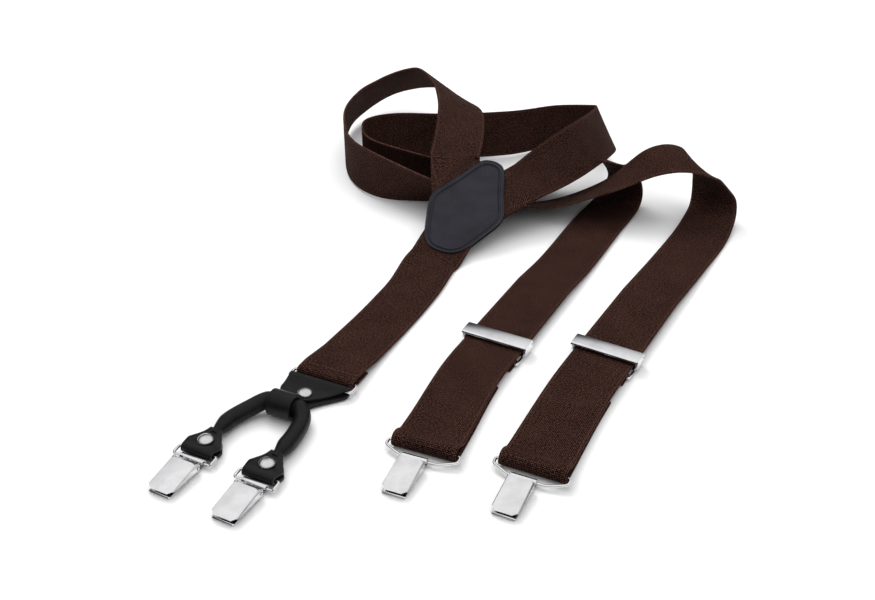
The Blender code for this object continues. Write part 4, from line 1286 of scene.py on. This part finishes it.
# ---------------------------------------------------------------- metal
@dataclass
class Metalwork:
    """Rivets, ring, hangers, clips and sliders."""

    wire_rounds: int = 1
    edge: float = 0.16

    def rivets(self, looks: Finishes) -> None:
        """Caps and posts of the three rivets.

        Args:
            looks: every finish of the suspenders.
        """
        rivets = (("back_tab_rivet", "back_tab"), ("cord_rivet_left", "cord"), ("cord_rivet_right", "cord"))
        for name, body in rivets:
            for part in ("cap", "post"):
                piece = fine_copy(f"{name}_{part}", f"{name}_{part}_finished", 0.25)
                smooth_shade(piece, 60.0)
                dress(piece, looks.rivet, body)

    def wires(self, looks: Finishes) -> None:
        """The back ring and the four hangers.

        Args:
            looks: every finish of the suspenders.
        """
        dress(fine_copy("back_ring", "ring", rounds=self.wire_rounds), looks.chrome, "back_ring")
        for end in End:
            for side in Side:
                name = f"hanger_{end.value}_{side.value}"
                dress(fine_copy(name, f"{name}_wire", rounds=self.wire_rounds), looks.chrome, name)

    def clips(self, looks: Finishes) -> None:
        """Four clips with their levers, pins, springs and pads.

        Args:
            looks: every finish of the suspenders.
        """
        for end in End:
            for side in Side:
                key = f"{end.value}_{side.value}"
                for part, look, slot, body in (
                    ("base", looks.chrome, "chrome", f"clip_{key}"),
                    ("lever", looks.chrome, "chrome", f"lever_{key}"),
                    ("pin", looks.chrome, "chrome", f"clip_{key}"),
                    ("jaw_pad", looks.rubber, "pad_rubber", f"clip_{key}"),
                ):
                    piece = fine_copy(f"clip_{key}_{part}", f"clip_{key}_{part}_finished", self.edge)
                    dress(piece, look, body)
                spring = fine_copy(f"clip_{key}_spring", f"clip_{key}_coil", rounds=1)
                dress(spring, looks.chrome, f"clip_{key}")

    def sliders(self, looks: Finishes) -> None:
        """Two sliders: frame, lever and pin.

        Args:
            looks: every finish of the suspenders.
        """
        for side in Side:
            key = side.value
            parts = (("frame", f"slider_{key}"), ("lever", f"slider_lever_{key}"), ("pin", f"slider_{key}"))
            for part, body in parts:
                piece = fine_copy(f"slider_{key}_{part}", f"slider_{key}_{part}_finished", self.edge)
                dress(piece, looks.chrome, body)

    def build(self, looks: Finishes) -> None:
        """Make every metal piece.

        Args:
            looks: every finish of the suspenders.
        """
        self.rivets(looks)
        self.wires(looks)
        self.clips(looks)
        self.sliders(looks)


# ---------------------------------------------------------------- studio
@dataclass
class Studio:
    """Pale table, soft light from behind and above, and the camera."""

    lens: float = 43.2
    pitch: float = 57.6
    height: float = 0.348
    floor_colour: tuple[float, float, float] = (0.93, 0.93, 0.93)

    def floor(self) -> None:
        """A wide pale table."""
        deselect()
        bpy.ops.mesh.primitive_plane_add(size=8.0, location=(0.0, 1.0, 0.0))
        floor = bpy.context.object
        floor.name = "floor"
        made, tree, shader = nodes_of("pale table")
        where = tree.nodes.new("ShaderNodeTexCoord").outputs["Object"]
        light = self.floor_colour
        dim = tuple(c * 0.985 for c in light)
        tone = ramp(tree, noise(tree, where, 6.0), (0.3, dim), (0.7, light))
        tree.links.new(tone, shader.inputs["Base Color"])
        shader.inputs["Roughness"].default_value = 0.7
        shader.inputs["Specular IOR Level"].default_value = 0.2
        floor.data.materials.append(made)

    def light(self, name: str, place: Station, aim: Station, size: float, power: float) -> None:
        """One soft square light that metal doesn't mirror.

        Args:
            name: the light's name.
            place: where it hangs, in metres.
            aim: what it points at.
            size: its side in metres.
            power: its power in watts.
        """
        data = bpy.data.lights.new(name, "AREA")
        data.shape = "SQUARE"
        data.size = size
        data.energy = power
        lamp = bpy.data.objects.new(name, data)
        bpy.context.scene.collection.objects.link(lamp)
        lamp.location = place
        way = Vector(aim) - Vector(place)
        lamp.rotation_euler = way.to_track_quat("-Z", "Y").to_euler()
        lamp.visible_glossy = False

    def world(self) -> None:
        """A sky that is bright above and dark near the horizon."""
        world = bpy.data.worlds.new("studio")
        bpy.context.scene.world = world
        world.use_nodes = True
        tree = world.node_tree
        where = tree.nodes.new("ShaderNodeTexCoord").outputs["Generated"]
        split = tree.nodes.new("ShaderNodeSeparateXYZ")
        tree.links.new(where, split.inputs[0])
        lift = sum_of(tree, "MULTIPLY_ADD", split.outputs[0], 0.12, split.outputs[2])
        colour = ramp(
            tree, lift,
            (0.0, (0.015, 0.015, 0.017)), (0.34, (0.08, 0.08, 0.085)), (0.50, (0.72, 0.72, 0.73)),
            (0.74, (1.0, 1.0, 1.0)), (1.0, (1.0, 1.0, 1.0)),
        )
        tree.links.new(colour, tree.nodes["Background"].inputs["Color"])
        tree.nodes["Background"].inputs["Strength"].default_value = 0.98

    def camera(self) -> None:
        """The camera, looking down along the laid length."""
        data = bpy.data.cameras.new("camera")
        data.lens = self.lens
        data.sensor_width = 36.0
        data.clip_end = 20.0
        obj = bpy.data.objects.new("camera", data)
        bpy.context.scene.collection.objects.link(obj)
        obj.location = (-LAY[0] * MM, -LAY[1] * MM, self.height)
        obj.rotation_euler = (math.radians(self.pitch), 0.0, 0.0)
        bpy.context.scene.camera = obj

    def build(self) -> None:
        """Set up the floor, the lights, the sky and the camera."""
        self.floor()
        self.light("key", (-0.7, 1.1, 1.5), (0.0, 0.05, 0.0), 1.0, 18.0)
        self.light("top", (0.1, 0.2, 1.8), (0.0, 0.0, 0.0), 1.6, 9.0)
        self.world()
        self.camera()
        bpy.context.scene.view_settings.view_transform = "Standard"
        bpy.context.scene.view_settings.look = "None"


def main() -> None:
    """Build the suspenders piece by piece and stage them."""
    logging.basicConfig(level=logging.INFO, format="%(message)s")
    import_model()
    looks = Finishes()
    Studio().build()
    for side, fork in ((Side.RIGHT, 1), (Side.LEFT, -1)):
        strap = FrontStrap(side, fork)
        strap.build(looks)
        strap.sewn(looks)
    BackStrap().build(looks)
    BackPatch().build(looks)
    LOG.info("straps and patch done")
    BackTab().build(looks)
    LeatherCord().build(looks)
    LOG.info("leather fittings done")
    Metalwork().build(looks)
    LOG.info("metal done")
    deselect()


if __name__ == "__main__":
    main()
